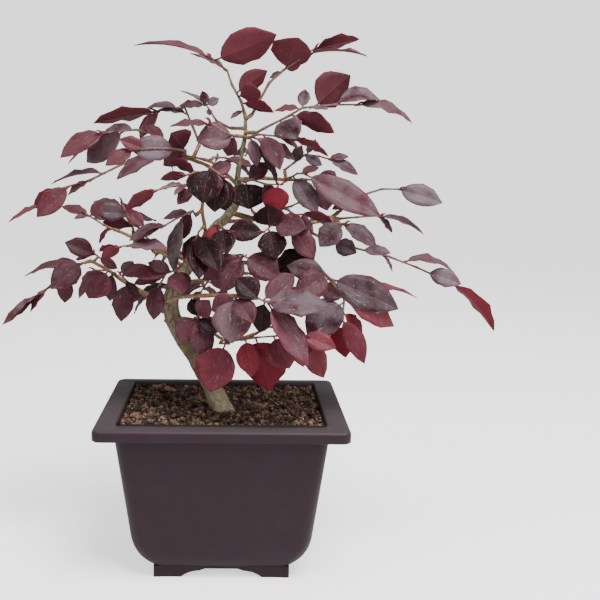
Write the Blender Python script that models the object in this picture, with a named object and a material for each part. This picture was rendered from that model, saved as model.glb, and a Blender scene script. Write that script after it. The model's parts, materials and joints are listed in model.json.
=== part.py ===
"""Chinese fringe flower bonsai in its moulded plastic pot.

Metres, +Z up. The pot stands on the plane z = 0, and the whole model's box is centred over the origin.

The plant is laid out on a branch plan: a sheet near the trunk, square to the line of sight from EYE.
A plan point is (across, depth, up) in millimetres. Across and up are read on the sheet, and depth then
moves the point along its own line of sight until it lies that far behind the pot's middle. So a stem or
a leaf can be set nearer or farther without changing how it is seen.
"""

import math
import random

import bmesh
import bpy
from mathutils import Matrix, Vector, noise
from mathutils.bvhtree import BVHTree

MM = 0.001
GAP = 0.3 * MM
UP = Vector((0, 0, 1))
ACROSS = Vector((1, 0, 0))
BACK = Vector((0, 1, 0))

# Pot: half widths are from the centre line to a face.
POT_HEIGHT = 104 * MM
RIM_HALF_WIDTH = 78 * MM
RIM_HALF_DEPTH = 66 * MM
RIM_LIP = 7.2 * MM
RIM_THICKNESS = 2.7 * MM
MOUTH_HALF_WIDTH = 64.8 * MM
MOUTH_HALF_DEPTH = 53.8 * MM
WALL = 2.4 * MM
UNDERSIDE = 5.6 * MM
FLOOR_TOP = 8.2 * MM
CORNER_STEPS = 3
FOOT_HALF_WIDTH = 43.3 * MM
FOOT_HALF_DEPTH = 40 * MM
FOOT_THICKNESS = 4.5 * MM
BIG_DRAIN_RADIUS = 7 * MM
SMALL_DRAIN_RADIUS = 2.5 * MM

# Soil.
SOIL_LEVEL = 101.9 * MM
SOIL_RELIEF = 1.5 * MM
SOIL_CELLS = (16, 12)
MOUND_MIDDLE = Vector((1, -14, 0))

# Leaves: widths are shares of a blade's length, and rows are where a blade's cross lines lie.
LEAF_THICKNESS = 0.65 * MM
LEAF_WIDTH_SHARE = 0.5
LEAF_ARCH = 0.04
LEAF_FOLD = 0.14
PETIOLE_SHARE = 0.2
PETIOLE_HALF_WIDTH = 0.7 * MM
LEAF_ROOT = 1.3 * MM
LARGE_LEAF = 40 * MM
LARGE_ROWS = (0, 0.08, 0.32, 0.71, 1)
SMALL_ROWS = (0, 0.3, 0.7, 1)
CLEARANCE = 0.4 * MM

TRUNK_SIDES = 10
BRANCH_SIDES = 5
TWIG_SIDES = 4
BARK_RELIEF = 0.7 * MM

EYE = Vector((9.4, -592, 267)) * MM
SIGHT_DIP = math.radians(9)
SHEET_TURN = math.radians(0.44)
SHEET_DISTANCE = 587.5 * MM
SHEET_MIDDLE = (10, 173)
SEED = 11

# The trunk's centre line with its radius at each point: (across, depth, up, radius).
TRUNK = [
    (3, -14, 74, 5.0), (3, -14, 88, 7.4), (1, -14, 98, 7.6), (-1, -12.5, 105, 6.8), (-8, -9, 119, 5.8),
    (-18, -5, 137, 5.2), (-29, -3, 155, 5.2), (-33, -3, 172, 5.4), (-26, -2, 189, 4.5),
    (-15, 0, 205, 3.9), (-7, 2, 217, 3.4), (5, 3, 229, 3.0), (10, 3, 240, 2.5), (10, 1, 255, 1.9),
    (14, 0, 275, 1.3), (15, 0, 289, 1.0),
]

# How many of the trunk's points shape the hole that it stands in.
BURIED_POINTS = 5

# Branches that grew with the trunk: where each leaves it, its route and its radius at both ends.
BRANCHES = {
    "low_front": (
        [(-32, -3, 173), (-37, -14, 172), (-25, -26, 175), (4, -42, 176), (18, -50, 174)], 1.6, 1.1),
    "low_twiggy": (
        [(-30, -3, 160), (-24, -14, 161), (-13, -24, 158), (0, -32, 148), (12, -38, 148)], 1.5, 1.0),
    "low_left": ([(-32, -3, 172), (-47, 0, 176), (-63, 4, 185), (-73, 7, 192), (-84, 9, 198)], 1.9, 1.0),
    "low_right": ([(-17, 0, 205), (5, 4, 198), (25, -4, 197), (40, -12, 200), (54, -18, 203)], 1.8, 1.1),
    "right": ([(5, 3, 229), (20, -4, 225), (38, -10, 221), (55, -12, 222), (69, -12, 225)], 1.8, 1.1),
    "right_upper": ([(10, 1, 250), (24, 8, 251), (40, 12, 250), (50, 14, 250)], 1.5, 1.0),
    "left_upper": ([(10, 3, 241), (0, 0, 250), (-8, -2, 258), (-20, -2, 263), (-32, 0, 267)], 1.6, 1.0),
    "left_middle": (
        [(-22, -1, 198), (-33, -10, 203), (-45, -18, 208), (-57, -24, 213), (-66, -28, 217)], 1.6, 1.0),
    "centre_front": ([(-15, 0, 208), (-11, -14, 216), (-13, -26, 232), (-10, -34, 246)], 1.4, 1.0),
    "back_low": ([(-30, -3, 180), (-26, 18, 184), (-10, 38, 186), (12, 52, 190)], 1.7, 1.0),
    "back_left": ([(-24, -2, 194), (-40, 20, 204), (-52, 42, 212)], 1.6, 1.0),
    "back_right": ([(-2, 2, 223), (16, 24, 224), (36, 44, 226)], 1.6, 1.0),
    "back_upper": ([(10, 2, 246), (2, 18, 254), (-8, 34, 262)], 1.4, 0.9),
}

# Leafy sprays. "twig" starts where the spray meets its spur. A leaf is seen from its base to its tip:
# (base across, base up, tip across, tip up, seen width), then where they matter the depth of its tip
# beyond its base and its arch. A seen width under zero shows the blade's underside.
SPRAYS = {
    "spray_top_left": dict(
        branch="trunk",
        twig=[(14, 0, 293), (12, -2, 300), (6, -6, 311), (3, -8, 320), (-7, -12, 328)],
        leaves=[(-7, 328, -57, 336, 3, 8, 0.08), (3, 321, -21, 331, 3), (-2, 330, 35, 343, -21, -7),
                (10, 306, 29, 320, -13, 5), (12, 304, 25, 306, -12, -12), (14, 300, 33, 293, -7),
                (15, 292, 5, 289, 3)],
    ),
    "spray_top_right": dict(
        branch="trunk",
        twig=[(18, 4, 291), (30, 8, 312), (39, 9, 320), (49, 8, 327), (59, 8, 334)],
        leaves=[(39, 322, 49, 341, -26, -12), (59, 334, 88, 340, -8), (55, 330, 93, 329, 3, 8, 0.07),
                (40, 320, 52, 327, -8, 8), (38, 320, 30, 315, 3, 5)],
    ),
    "spray_upper_right": dict(
        branch="trunk",
        twig=[(20, -5, 280), (27, -9, 283), (43, -13, 291), (51, -14, 296), (72, -16, 298), (86, -17, 298)],
        leaves=[(60, 299, 82, 317, -22, 6), (52, 296, 53, 308, 8), (72, 300, 101, 301, 9, 4, 0.2),
                (86, 298, 122, 286, 6, -6, 0.11), (56, 297, 68, 295, 3), (44, 291, 72, 280, -11, -8, 0.06),
                (35, 290, 48, 276, 18, -7), (49, 298, 33, 294, 4, 6)],
    ),
    "spray_left_crown": dict(
        branch="trunk",
        twig=[(9, -5, 278), (2, -12, 280), (-7, -15, 286)],
        leaves=[(9, 280, -17, 275, 18, -9), (-7, 286, -34, 284, 4, -4),
                (8, 278, 3, 265, 11, 7)],
    ),
    "spray_left_tuft": dict(
        branch="trunk",
        twig=[(6, 4, 283), (-4, 11, 288), (-11, 15, 299)],
        leaves=[(-11, 298, -13, 307, 6), (-11, 298, -2, 302, 6), (-12, 299, -28, 297, 5, -5),
                (-11, 299, -27, 307, 2, 3), (-9, 296, -8, 291, 4)],
    ),
    "spray_left_peak": dict(
        branch="left_upper",
        twig=[(-15, 6, 272), (-19, 10, 284), (-24, 13, 296), (-42, 15, 294)],
        leaves=[(-27, 297, -50, 295, 4, 5, 0.09), (-24, 292, -41, 295, 4), (-42, 294, -83, 286, -9, 4, 0.01),
                (-40, 294, -53, 276, 8, -8)],
    ),
    "spray_left_outer": dict(
        branch="left_upper",
        twig=[(-34, 4, 272), (-40, 6, 278), (-55, 8, 282), (-66, 8, 281), (-76, 8, 280)],
        leaves=[(-36, 276, -50, 285, 7, 6), (-56, 282, -75, 282, 6, 4), (-76, 280, -104, 264, 12, -5),
                (-63, 281, -87, 261, 17, -8), (-74, 279, -99, 260, 3, 5)],
    ),
    "spray_left_inner": dict(
        branch="left_upper",
        twig=[(-24, -8, 268), (-34, -15, 270), (-46, -19, 270), (-58, -22, 269)],
        leaves=[(-29, 270, -60, 270, 16, -9), (-58, 269, -75, 259, 9, 4), (-18, 268, -33, 280, -20, 5),
                (-24, 266, -38, 259, 10, 7), (-50, 270, -66, 276, 9, 9)],
    ),
    "spray_left_far": dict(
        branch="left_upper",
        twig=[(-36, 3, 267), (-47, 6, 266), (-62, 8, 261), (-84, 8, 250), (-104, 6, 244), (-118, 4, 233)],
        leaves=[(-38, 264, -68, 250, 9, -6), (-75, 256, -110, 247, 3, 8, 0.07), (-84, 250, -99, 240, 4, -5),
                (-104, 244, -121, 233, -11, 5), (-98, 245, -119, 226, 14, -6),
                (-118, 232, -137, 223, 3, 5, 0.01)],
    ),
    "spray_left_shade": dict(
        branch="left_upper",
        twig=[(-8, -10, 254), (-16, -15, 255), (-23, -18, 253)],
        leaves=[(-17, 256, -34, 262, -7, 5), (-22, 254, -40, 250, -6), (-9, 255, 6, 260, 10, 6)],
    ),
    "spray_left_drooping": dict(
        branch="centre_front",
        twig=[(-14, -33, 240), (-21, -36, 247), (-32, -38, 246), (-43, -40, 243)],
        leaves=[(-24, 247, -42, 243, 3, 6), (-43, 243, -62, 231, -8, -3), (-22, 247, -31, 240, 3, -6),
                (-18, 245, -29, 234, 8, -7)],
    ),
    "spray_left_middle_tip": dict(
        branch="left_middle",
        twig=[(-69, -30, 218), (-76, -32, 221), (-87, -34, 228)],
        leaves=[(-84, 228, -103, 233, 6, 4), (-87, 228, -95, 225, 3, -6), (-84, 227, -75, 236, 8, -5),
                (-72, 220, -79, 209, -3, -5)],
    ),
    "spray_left_middle_dark": dict(
        branch="left_middle",
        twig=[(-57, -20, 217), (-60, -19, 226), (-64, -19, 234)],
        leaves=[(-64, 235, -83, 236, 5, 4), (-62, 228, -82, 230, 12, -7), (-62, 231, -50, 220, 9, -9),
                (-56, 221, -77, 223, -8, -6)],
    ),
    "spray_left_middle_inner": dict(
        branch="centre_front",
        twig=[(-16, -29, 228), (-19, -33, 230), (-28, -36, 226), (-38, -38, 220)],
        leaves=[(-21, 230, -38, 225, 5, 6), (-20, 230, -27, 211, 9, 4), (-36, 221, -52, 217, 3),
                (-38, 220, -60, 211, 9, -5), (-25, 226, -31, 190, 9, -7)],
    ),
    "spray_left_middle_low": dict(
        branch="left_middle",
        twig=[(-55, -30, 210), (-60, -34, 208), (-66, -37, 207)],
        leaves=[(-62, 209, -35, 206, 7, -8), (-65, 208, -78, 199, -7), (-66, 207, -79, 204, -4, 7)],
    ),
    "spray_low_left_tip": dict(
        branch="low_left",
        twig=[(-88, 8, 197), (-97, 6, 191), (-108, 3, 184), (-119, 0, 175)],
        leaves=[(-91, 198, -127, 188, 5, 9, 0.07), (-90, 197, -110, 180, 17, -7),
                (-99, 189, -101, 171, 11, 4), (-110, 183, -123, 165, 4, -6),
                (-119, 175, -141, 157, 6, -6, 0.01), (-116, 178, -134, 163, 3, 8)],
    ),
    "spray_low_left_upper": dict(
        branch="low_left",
        twig=[(-80, 14, 200), (-82, 18, 203)],
        leaves=[(-82, 202, -101, 210, 13, -4), (-80, 200, -67, 193, 7, 5), (-82, 203, -94, 199, 5, 9)],
    ),
    "spray_low_left_front": dict(
        branch="low_left",
        twig=[(-69, -2, 190), (-74, -8, 192), (-81, -12, 192)],
        leaves=[(-73, 192, -86, 174, 20, -6), (-81, 192, -92, 174, 6, 4), (-71, 190, -72, 172, 9, 5)],
    ),
    "spray_low_left_hanging": dict(
        branch="low_left",
        twig=[(-58, -3, 183), (-60, -10, 184), (-65, -16, 189)],
        leaves=[(-61, 184, -65, 159, 14, -2), (-64, 189, -46, 194, 8, -3), (-65, 189, -57, 198, 9, 4),
                (-61, 186, -54, 173, 8, 7)],
    ),
    "spray_low_left_inner": dict(
        branch="low_left",
        twig=[(-43, -8, 177), (-40, -16, 183), (-36, -24, 190), (-30, -29, 192)],
        leaves=[(-40, 183, -44, 160, 12, -3), (-34, 191, -58, 188, 9, -9), (-30, 192, -25, 177, 15, -9),
                (-37, 188, -57, 183, -7, 2), (-33, 192, -48, 197, 8, -3)],
    ),
    "spray_centre_shade": dict(
        branch="centre_front",
        twig=[(-13, -21, 219), (-15, -25, 217), (-17, -28, 212)],
        leaves=[(-14, 216, -20, 195, 14, -5), (-16, 213, -15, 186, 15, 4), (-13, 214, -2, 191, 16, -6),
                (-16, 214, -25, 199, 9, 6)],
    ),
    "spray_centre_dark": dict(
        branch="centre_front",
        twig=[(-10, -38, 250), (-8, -43, 258), (0, -46, 252)],
        leaves=[(-8, 259, -13, 235, 22, -8), (-2, 254, -5, 229, 17, -2), (0, 252, 2, 230, 14, 6)],
    ),
    "spray_centre_right": dict(
        branch="trunk",
        twig=[(14, -6, 249), (19, -15, 250), (28, -21, 247), (37, -24, 247)],
        leaves=[(15, 250, 17, 231, 28, -6), (36, 246, 33, 228, -17, 3), (37, 249, 22, 271, 5, -4),
                (26, 248, 32, 238, 9, 6), (16, 250, 29, 261, 11, 6)],
    ),
    "spray_centre_low": dict(
        branch="trunk",
        twig=[(-5, -8, 221), (-2, -16, 221), (3, -21, 217)],
        leaves=[(-4, 225, -5, 208, -13, -7), (3, 219, 26, 216, 14, -3), (0, 219, 3, 202, 15, 5)],
    ),
    "spray_crown_right": dict(
        branch="trunk",
        twig=[(17, -7, 277), (23, -15, 279), (34, -19, 278), (46, -22, 276)],
        leaves=[(19, 278, 47, 262, 7, -9), (18, 278, 22, 258, 9, -3), (26, 278, 37, 256, 13, 1),
                (35, 274, 49, 270, 4, 5), (46, 275, 68, 265, -5)],
    ),
    "spray_right_shoulder": dict(
        branch="right",
        twig=[(33, -18, 221), (32, -24, 221), (27, -29, 217)],
        leaves=[(30, 219, 29, 234, -20, 2), (30, 218, 34, 199, 18, -4), (31, 224, 54, 219, 18, -7)],
    ),
    "spray_right_shade": dict(
        branch="right",
        twig=[(44, -19, 220), (47, -24, 219)],
        leaves=[(46, 219, 58, 221, 13, -8), (44, 219, 59, 199, 14, -4)],
    ),
    "spray_centre_fan": dict(
        branch="low_right",
        twig=[(8, -6, 201), (12, -20, 202), (14, -30, 201)],
        leaves=[(13, 201, -13, 186, 15, -4), (13, 200, -1, 177, 15, -9), (15, 200, 37, 187, 18, -6),
                (13, 201, 2, 190, 11, 8)],
    ),
    "spray_grey_cluster": dict(
        branch="right_upper",
        twig=[(40, 16, 255), (46, 18, 261), (53, 20, 266), (62, 22, 265), (69, 23, 263)],
        leaves=[(51, 267, 64, 259, 7, -4), (45, 263, 51, 272, 8, -5), (54, 267, 60, 276, 5, 5),
                (68, 264, 81, 265, 5, 3), (69, 262, 87, 253, 7, -3)],
    ),
    "spray_right_centre": dict(
        branch="right_upper",
        twig=[(43, 6, 251), (48, -2, 254), (53, -6, 254)],
        leaves=[(45, 253, 61, 228, 14, -12), (53, 254, 102, 226, 18, -10), (50, 254, 62, 258, 5, 7)],
    ),
    "spray_right_mauve": dict(
        branch="right_upper",
        twig=[(54, 12, 250), (58, 10, 250), (64, 10, 248)],
        leaves=[(57, 251, 75, 243, 21, 12), (63, 248, 67, 230, 14, 5)],
    ),
    "spray_right_far": dict(
        branch="right",
        twig=[(74, -8, 229), (89, -2, 240), (102, 1, 244), (113, 2, 244)],
        leaves=[(112, 244, 141, 235, 14, -5), (81, 235, 70, 231, -5)],
    ),
    "spray_right_behind": dict(
        branch="right",
        twig=[(74, -6, 225), (86, 2, 226), (101, 6, 227)],
        leaves=[(101, 228, 129, 215, 4, -2, 0.08), (101, 226, 109, 216, 4, 4)],
    ),
    "spray_right_dark": dict(
        branch="right",
        twig=[(70, -18, 222), (74, -22, 222), (78, -24, 222)],
        leaves=[(77, 222, 62, 207, 15, -5), (76, 222, 99, 207, 10, -6, 0.08), (72, 222, 52, 229, -6, 6)],
    ),
    "spray_right_low_tip": dict(
        branch="right",
        twig=[(57, -7, 217), (65, -4, 212), (78, 0, 208), (106, 4, 201), (124, 4, 194), (146, 2, 184)],
        leaves=[(103, 201, 109, 191, 2, 3), (116, 198, 149, 190, 5, 6, 0.13), (132, 192, 153, 183, 12, -6),
                (146, 184, 174, 153, -8, 3, 0.09), (90, 205, 108, 203, 7, -7), (72, 211, 86, 203, 12, -6)],
    ),
    "spray_low_right_big": dict(
        branch="low_right",
        twig=[(57, -22, 200), (62, -28, 194), (70, -33, 186)],
        leaves=[(71, 185, 113, 167, 22, -9), (67, 188, 41, 195, 14, 5), (69, 187, 46, 178, 19, -7),
                (58, 200, 33, 193, 18, 4)],
    ),
    "spray_low_right_hanging": dict(
        branch="low_right",
        twig=[(56, -13, 199), (68, -12, 187), (78, -14, 174), (77, -17, 163), (72, -19, 156)],
        leaves=[(77, 172, 54, 150, 24, -9), (77, 161, 91, 132, 13, -5), (73, 157, 79, 136, -15, 5),
                (78, 174, 110, 156, 16, 6), (92, 182, 125, 174, 5, 9, 0.14), (76, 165, 90, 149, 9, 8),
                (72, 157, 55, 150, 13, 8), (77, 174, 61, 182, 12, 6)],
    ),
    "spray_low_right_pink": dict(
        branch="low_twiggy",
        twig=[(20, -36, 151), (30, -36, 156), (42, -36, 154), (52, -36, 150)],
        leaves=[(47, 152, 52, 130, 14, -4), (52, 150, 65, 123, 15, 3), (40, 154, 42, 136, 14, 7),
                (52, 150, 73, 142, 12, 5)],
    ),
    "spray_front_grey": dict(
        branch="low_front",
        twig=[(22, -54, 174), (27, -57, 172), (30, -59, 171)],
        leaves=[(26, 173, 69, 168, 16, -7), (29, 171, 55, 131, 15, -7), (27, 172, 24, 152, 13, 6),
                (24, 174, 9, 187, 15, 8), (26, 173, 46, 190, 14, 9)],
    ),
    "spray_front_mauve": dict(
        branch="low_front",
        twig=[(6, -46, 175), (9, -52, 175)],
        leaves=[(9, 175, 6, 145, 24, -7), (8, 175, -7, 166, 12, 7), (9, 175, 20, 158, 14, 8)],
    ),
    "spray_low_wine": dict(
        branch="low_twiggy",
        twig=[(-1, -36, 146), (3, -40, 145)],
        leaves=[(2, 146, -8, 114, 25, -7), (1, 146, 9, 155, 6, -8)],
    ),
    "spray_low_red": dict(
        branch="low_twiggy",
        twig=[(14, -41, 148), (22, -44, 149), (34, -46, 150)],
        leaves=[(21, 149, 30, 115, -28, 5), (36, 150, 43, 129, 20, -3), (15, 148, 19, 124, 16, 6)],
    ),
    "spray_low_trunk": dict(
        branch="low_twiggy",
        twig=[(-17, -27, 161), (-16, -31, 162), (-15, -34, 162)],
        leaves=[(-17, 163, -28, 146, 14, -2), (-15, 161, -11, 135, 15, -5), (-15, 163, -8, 173, 12, -5),
                (-16, 163, -20, 174, 10, 4), (-15, 162, -3, 152, 11, 6)],
    ),
}

# Sprays at the back, behind the others. Their leaves alternate along the twig by a rule. Each row has
# the branch that the spray grows from, its twig, its number of leaves and its longest leaf.
HIDDEN_SPRAYS = {
    "spray_back_low_left": ("back_low", [(-28, 26, 186), (-40, 40, 180), (-50, 54, 174)], 5, 30),
    "spray_back_low_middle": ("back_low", [(-6, 46, 188), (-10, 60, 184), (-14, 74, 178)], 5, 32),
    "spray_back_low_right": ("back_low", [(16, 55, 190), (30, 64, 186), (44, 70, 180)], 5, 31),
    "spray_back_low_inner": ("back_low", [(-12, 34, 182), (4, 26, 174), (20, 22, 168)], 5, 28),
    "spray_back_left_tip": ("back_left", [(-52, 46, 216), (-56, 56, 224), (-62, 66, 229)], 4, 30),
    "spray_back_left_side": ("back_left", [(-42, 24, 207), (-50, 26, 214), (-56, 28, 224)], 4, 26),
    "spray_back_left_inner": ("back_left", [(-44, 36, 204), (-34, 48, 204), (-26, 62, 202)], 5, 28),
    "spray_back_right_tip": ("back_right", [(40, 47, 227), (54, 58, 228), (66, 68, 226)], 5, 30),
    "spray_back_right_side": ("back_right", [(26, 28, 228), (44, 26, 233), (58, 26, 240)], 3, 27),
    "spray_back_right_inner": ("back_right", [(20, 36, 229), (16, 50, 238), (12, 62, 245)], 5, 29),
    "spray_back_upper_left": ("back_upper", [(-12, 36, 263), (-26, 44, 266), (-40, 54, 266)], 5, 27),
    "spray_back_upper_middle": ("back_upper", [(-6, 40, 264), (2, 52, 264), (10, 64, 260)], 4, 27),
    "spray_back_crown": ("trunk", [(14, 6, 268), (20, 20, 270), (28, 34, 270)], 5, 25),
}


def plan(point):
    """A plan point (across, depth, up) in millimetres as a place in metres."""
    across, depth, up = point[:3]
    sheet = Vector((across - SHEET_MIDDLE[0], 0, up - SHEET_MIDDLE[1])) * MM
    sheet = Matrix.Rotation(-SHEET_TURN, 3, "Y") @ sheet
    ahead = Matrix.Rotation(-SIGHT_DIP, 3, "X") @ (sheet + Vector((0, SHEET_DISTANCE, 0)))
    return EYE + ahead * (depth * MM - EYE.y) / ahead.y


def frames_along(points, radii, first_direction=None):
    """One matrix for each point of a route: it takes a unit disc to the cross section there, untwisted."""
    steps = [(b - a).normalized() for a, b in zip(points, points[1:])]
    directions = [first_direction or steps[0]]
    directions += [(a + b).normalized() for a, b in zip(steps, steps[1:])]
    directions.append(steps[-1])
    turn = UP.rotation_difference(directions[0]).to_matrix()
    frames = []
    for index, (point, radius) in enumerate(zip(points, radii)):
        if index:
            turn = directions[index - 1].rotation_difference(directions[index]).to_matrix() @ turn
        size = Matrix.Diagonal((radius, radius, radius, 1))
        frames.append(Matrix.Translation(point) @ turn.to_4x4() @ size)
    return frames


def stacked_loops(loops):
    """A closed body through a stack of loops of equal length, capped at both ends."""
    bm = bmesh.new()
    rings = [[bm.verts.new(point) for point in loop] for loop in loops]
    for below, above in zip(rings, rings[1:]):
        for index in range(len(below)):
            bm.faces.new((below[index - 1], below[index], above[index], above[index - 1]))
    bm.faces.new(rings[0])
    bm.faces.new(rings[-1])
    bmesh.ops.recalc_face_normals(bm, faces=bm.faces[:])
    return bm


def limb_mesh(points, radii, sides, first_direction=None):
    """A closed tapering limb through its cross sections."""
    turns = [index * 2 * math.pi / sides for index in range(sides)]
    circle = [Vector((math.cos(turn), math.sin(turn), 0)) for turn in turns]
    frames = frames_along(points, radii, first_direction)
    return stacked_loops([[frame @ point for point in circle] for frame in frames])


def taper(start, end, count):
    """Radii in metres from a limb's start to its end."""
    return [(start + (end - start) * index / (count - 1)) * MM for index in range(count)]


def nearest_on_route(route, point, from_eye):
    """The route's nearest point to a point, judged as seen from EYE where from_eye is set."""
    best = None
    for a, b in zip(route, route[1:]):
        for step in range(11):
            here = a.lerp(b, step / 10)
            if from_eye:
                away = ((here - EYE).normalized() - (point - EYE).normalized()).length
            else:
                away = (here - point).length
            if best is None or away < best[0]:
                best = (away, here)
    return best[1]


def rooted(route, base):
    """A leaf's base, kept short of a twig's end so that the blade grows out of the wood."""
    end, before = route[-1], route[-2]
    back = (end - base).length
    if back < LEAF_ROOT:
        return end + (before - end).normalized() * LEAF_ROOT
    return base


def leaf_outline(share):
    """Half width of a blade at a share of its length, as a share of its greatest half width."""
    return math.sin(math.pi * share ** 0.92) ** 0.68


class Leaf:
    """One leaf: a blade from base to tip, its upper face towards normal. Arch is a share of its length."""

    def __init__(self, base, tip, width, normal, arch):
        self.base = base
        self.tip = tip
        self.width = width
        self.normal = normal
        self.arch = arch

    def rows(self):
        return LARGE_ROWS if (self.tip - self.base).length > LARGE_LEAF else SMALL_ROWS

    def point(self, share, side):
        """A point of the blade's middle sheet: side runs from -1 at one edge to 1 at the other."""
        along = self.tip - self.base
        length = along.length
        across = along.normalized().cross(self.normal)
        half = self.width / 2 * leaf_outline(share)
        if 0 < share < PETIOLE_SHARE:
            half = PETIOLE_HALF_WIDTH
        lift = self.arch * length * 4 * share * (1 - share) + LEAF_FOLD * half * abs(side)
        return self.base + along * share + self.normal * lift + across * half * side

    def mesh(self, thickness):
        """The blade as a closed solid: a grid bent to the leaf, split alike on both faces, and thickened."""
        rows = self.rows()
        bm = bmesh.new()
        bmesh.ops.create_grid(bm, x_segments=2, y_segments=len(rows) - 1, size=1)
        for vert in bm.verts:
            row = round((vert.co.y + 1) / 2 * (len(rows) - 1))
            vert.co = self.point(rows[row], round(vert.co.x)) + self.normal * (thickness / 2)
        bmesh.ops.remove_doubles(bm, verts=bm.verts[:], dist=1e-7)
        bmesh.ops.triangulate(bm, faces=bm.faces[:], quad_method="FIXED")
        under = bmesh.ops.extrude_face_region(bm, geom=bm.faces[:])["geom"]
        sunk = [item for item in under if isinstance(item, bmesh.types.BMVert)]
        bmesh.ops.translate(bm, vec=-self.normal * thickness, verts=sunk)
        root = [vert for vert in bm.verts if (vert.co - self.base).length < 0.6 * thickness]
        bmesh.ops.pointmerge(bm, verts=root, merge_co=self.base)
        bmesh.ops.recalc_face_normals(bm, faces=bm.faces[:])
        return bm


def upper_normal(base, tip, shown):
    """The normal of a blade that shows the eye this share of its width, turned as far up as it can be."""
    along = (tip - base).normalized()
    to_eye = (EYE - (base + tip) / 2).normalized()
    facing = (to_eye - along * to_eye.dot(along)).normalized()
    beside = along.cross(facing)
    if beside.z < 0:
        beside = -beside
    return (facing * shown + beside * math.sqrt(1 - shown * shown)).normalized()


def shape_tree(bm):
    """A search tree of a mesh's faces, with the corners of its box."""
    tree = BVHTree.FromBMesh(bm)
    corners = [vert.co for vert in bm.verts]
    low = Vector([min(corner[axis] for corner in corners) for axis in range(3)])
    high = Vector([max(corner[axis] for corner in corners) for axis in range(3)])
    bm.free()
    return tree, low, high


def crosses(shape, others):
    """Whether a shape's surface meets the surface of any of the others."""
    tree, low, high = shape
    for other, other_low, other_high in others:
        apart = any(low[axis] > other_high[axis] or high[axis] < other_low[axis] for axis in range(3))
        if not apart and tree.overlap(other):
            return True
    return False


def bends(largest, step):
    """Zero, then steps to either side, growing to the largest."""
    values = [0]
    for index in range(1, int(largest / step) + 1):
        values += [index * step, -index * step]
    return values


def bend_twig_clear(twig, direction, radii, others):
    """Moves a twig in depth, more towards its end, until it crosses no other piece."""
    for shift in bends(24, 2):
        route = [twig[0], twig[0] + direction * 1.5 * MM]
        for index, point in enumerate(twig[1:], 1):
            away = (point - EYE).normalized()
            route.append(point + away * shift * MM * index / (len(twig) - 1))
        wide = [radius + CLEARANCE for radius in radii]
        shape = shape_tree(limb_mesh(route[1:], wide[1:], TWIG_SIDES))
        if not crosses(shape, others):
            return route
    raise ValueError("a twig has no way clear")


def bend_leaf_clear(base, tip, width, shown, arch, others, own):
    """Turns a leaf a little about its base until it crosses nothing, its tip moving in depth first."""
    fallback = None
    for shorten in (1, 0.9, 0.78, 0.64, 0.5):
        for roll in bends(0.45, 0.15):
            for shift in bends(28, 2):
                away = (tip - EYE).normalized()
                end = base + (tip + away * shift * MM - base) * shorten
                share = max(-1, min(1, shown + roll))
                leaf = Leaf(base, end, width * shorten, upper_normal(base, end, share), arch)
                shape = shape_tree(leaf.mesh(LEAF_THICKNESS + 2 * CLEARANCE))
                if crosses(shape, others):
                    continue
                if not crosses(shape, own):
                    return leaf
                fallback = fallback or leaf
        if fallback:
            return fallback
    raise ValueError("a leaf has no way clear")


def seen_leaf(numbers, route, draw, side):
    """Base, tip, width, shown share and arch of a leaf that the branch plan draws."""
    base_across, base_up, tip_across, tip_up, seen = numbers[:5]
    base = rooted(route, nearest_on_route(route[1:], plan((base_across, 0, base_up)), True))
    depth = base.y / MM
    seen_length = math.hypot(tip_across - base_across, tip_up - base_up)
    beyond = numbers[5] if len(numbers) > 5 else side * draw.uniform(0.1, 0.3) * seen_length
    tip = plan((tip_across, depth + beyond, tip_up))
    length = (tip - base).length
    width = max(abs(seen) * MM * 1.04, LEAF_WIDTH_SHARE * draw.uniform(0.9, 1.06) * min(length, LARGE_LEAF))
    arch = numbers[6] if len(numbers) > 6 else LEAF_ARCH
    return base, tip, width, seen * MM / width, arch


def ruled_leaves(route, count, longest, draw):
    """Bases, tips, widths, shown shares and arches of leaves that alternate along a twig and end it."""
    leaves = []
    spans = list(zip(route[1:], route[2:]))
    for index in range(count):
        along = (index + 1) / count
        place = min(along * len(spans), len(spans) - 1e-6)
        start, end = spans[int(place)]
        base = rooted(route, start.lerp(end, place - int(place)))
        forward = (end - start).normalized()
        side = forward.cross(UP).normalized() * (1 if index % 2 else -1)
        swing = 0 if index == count - 1 else math.radians(draw.uniform(48, 66))
        heading = forward * math.cos(swing) + side * math.sin(swing) - UP * draw.uniform(0.15, 0.5)
        length = longest * MM * draw.uniform(0.72, 1) * (1 - 0.2 * abs(2 * along - 1))
        tip = base + heading.normalized() * length
        width = LEAF_WIDTH_SHARE * length * draw.uniform(0.94, 1.1)
        leaves.append((base, tip, width, draw.uniform(0.15, 0.6), LEAF_ARCH * 1.5))
    return leaves


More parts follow.
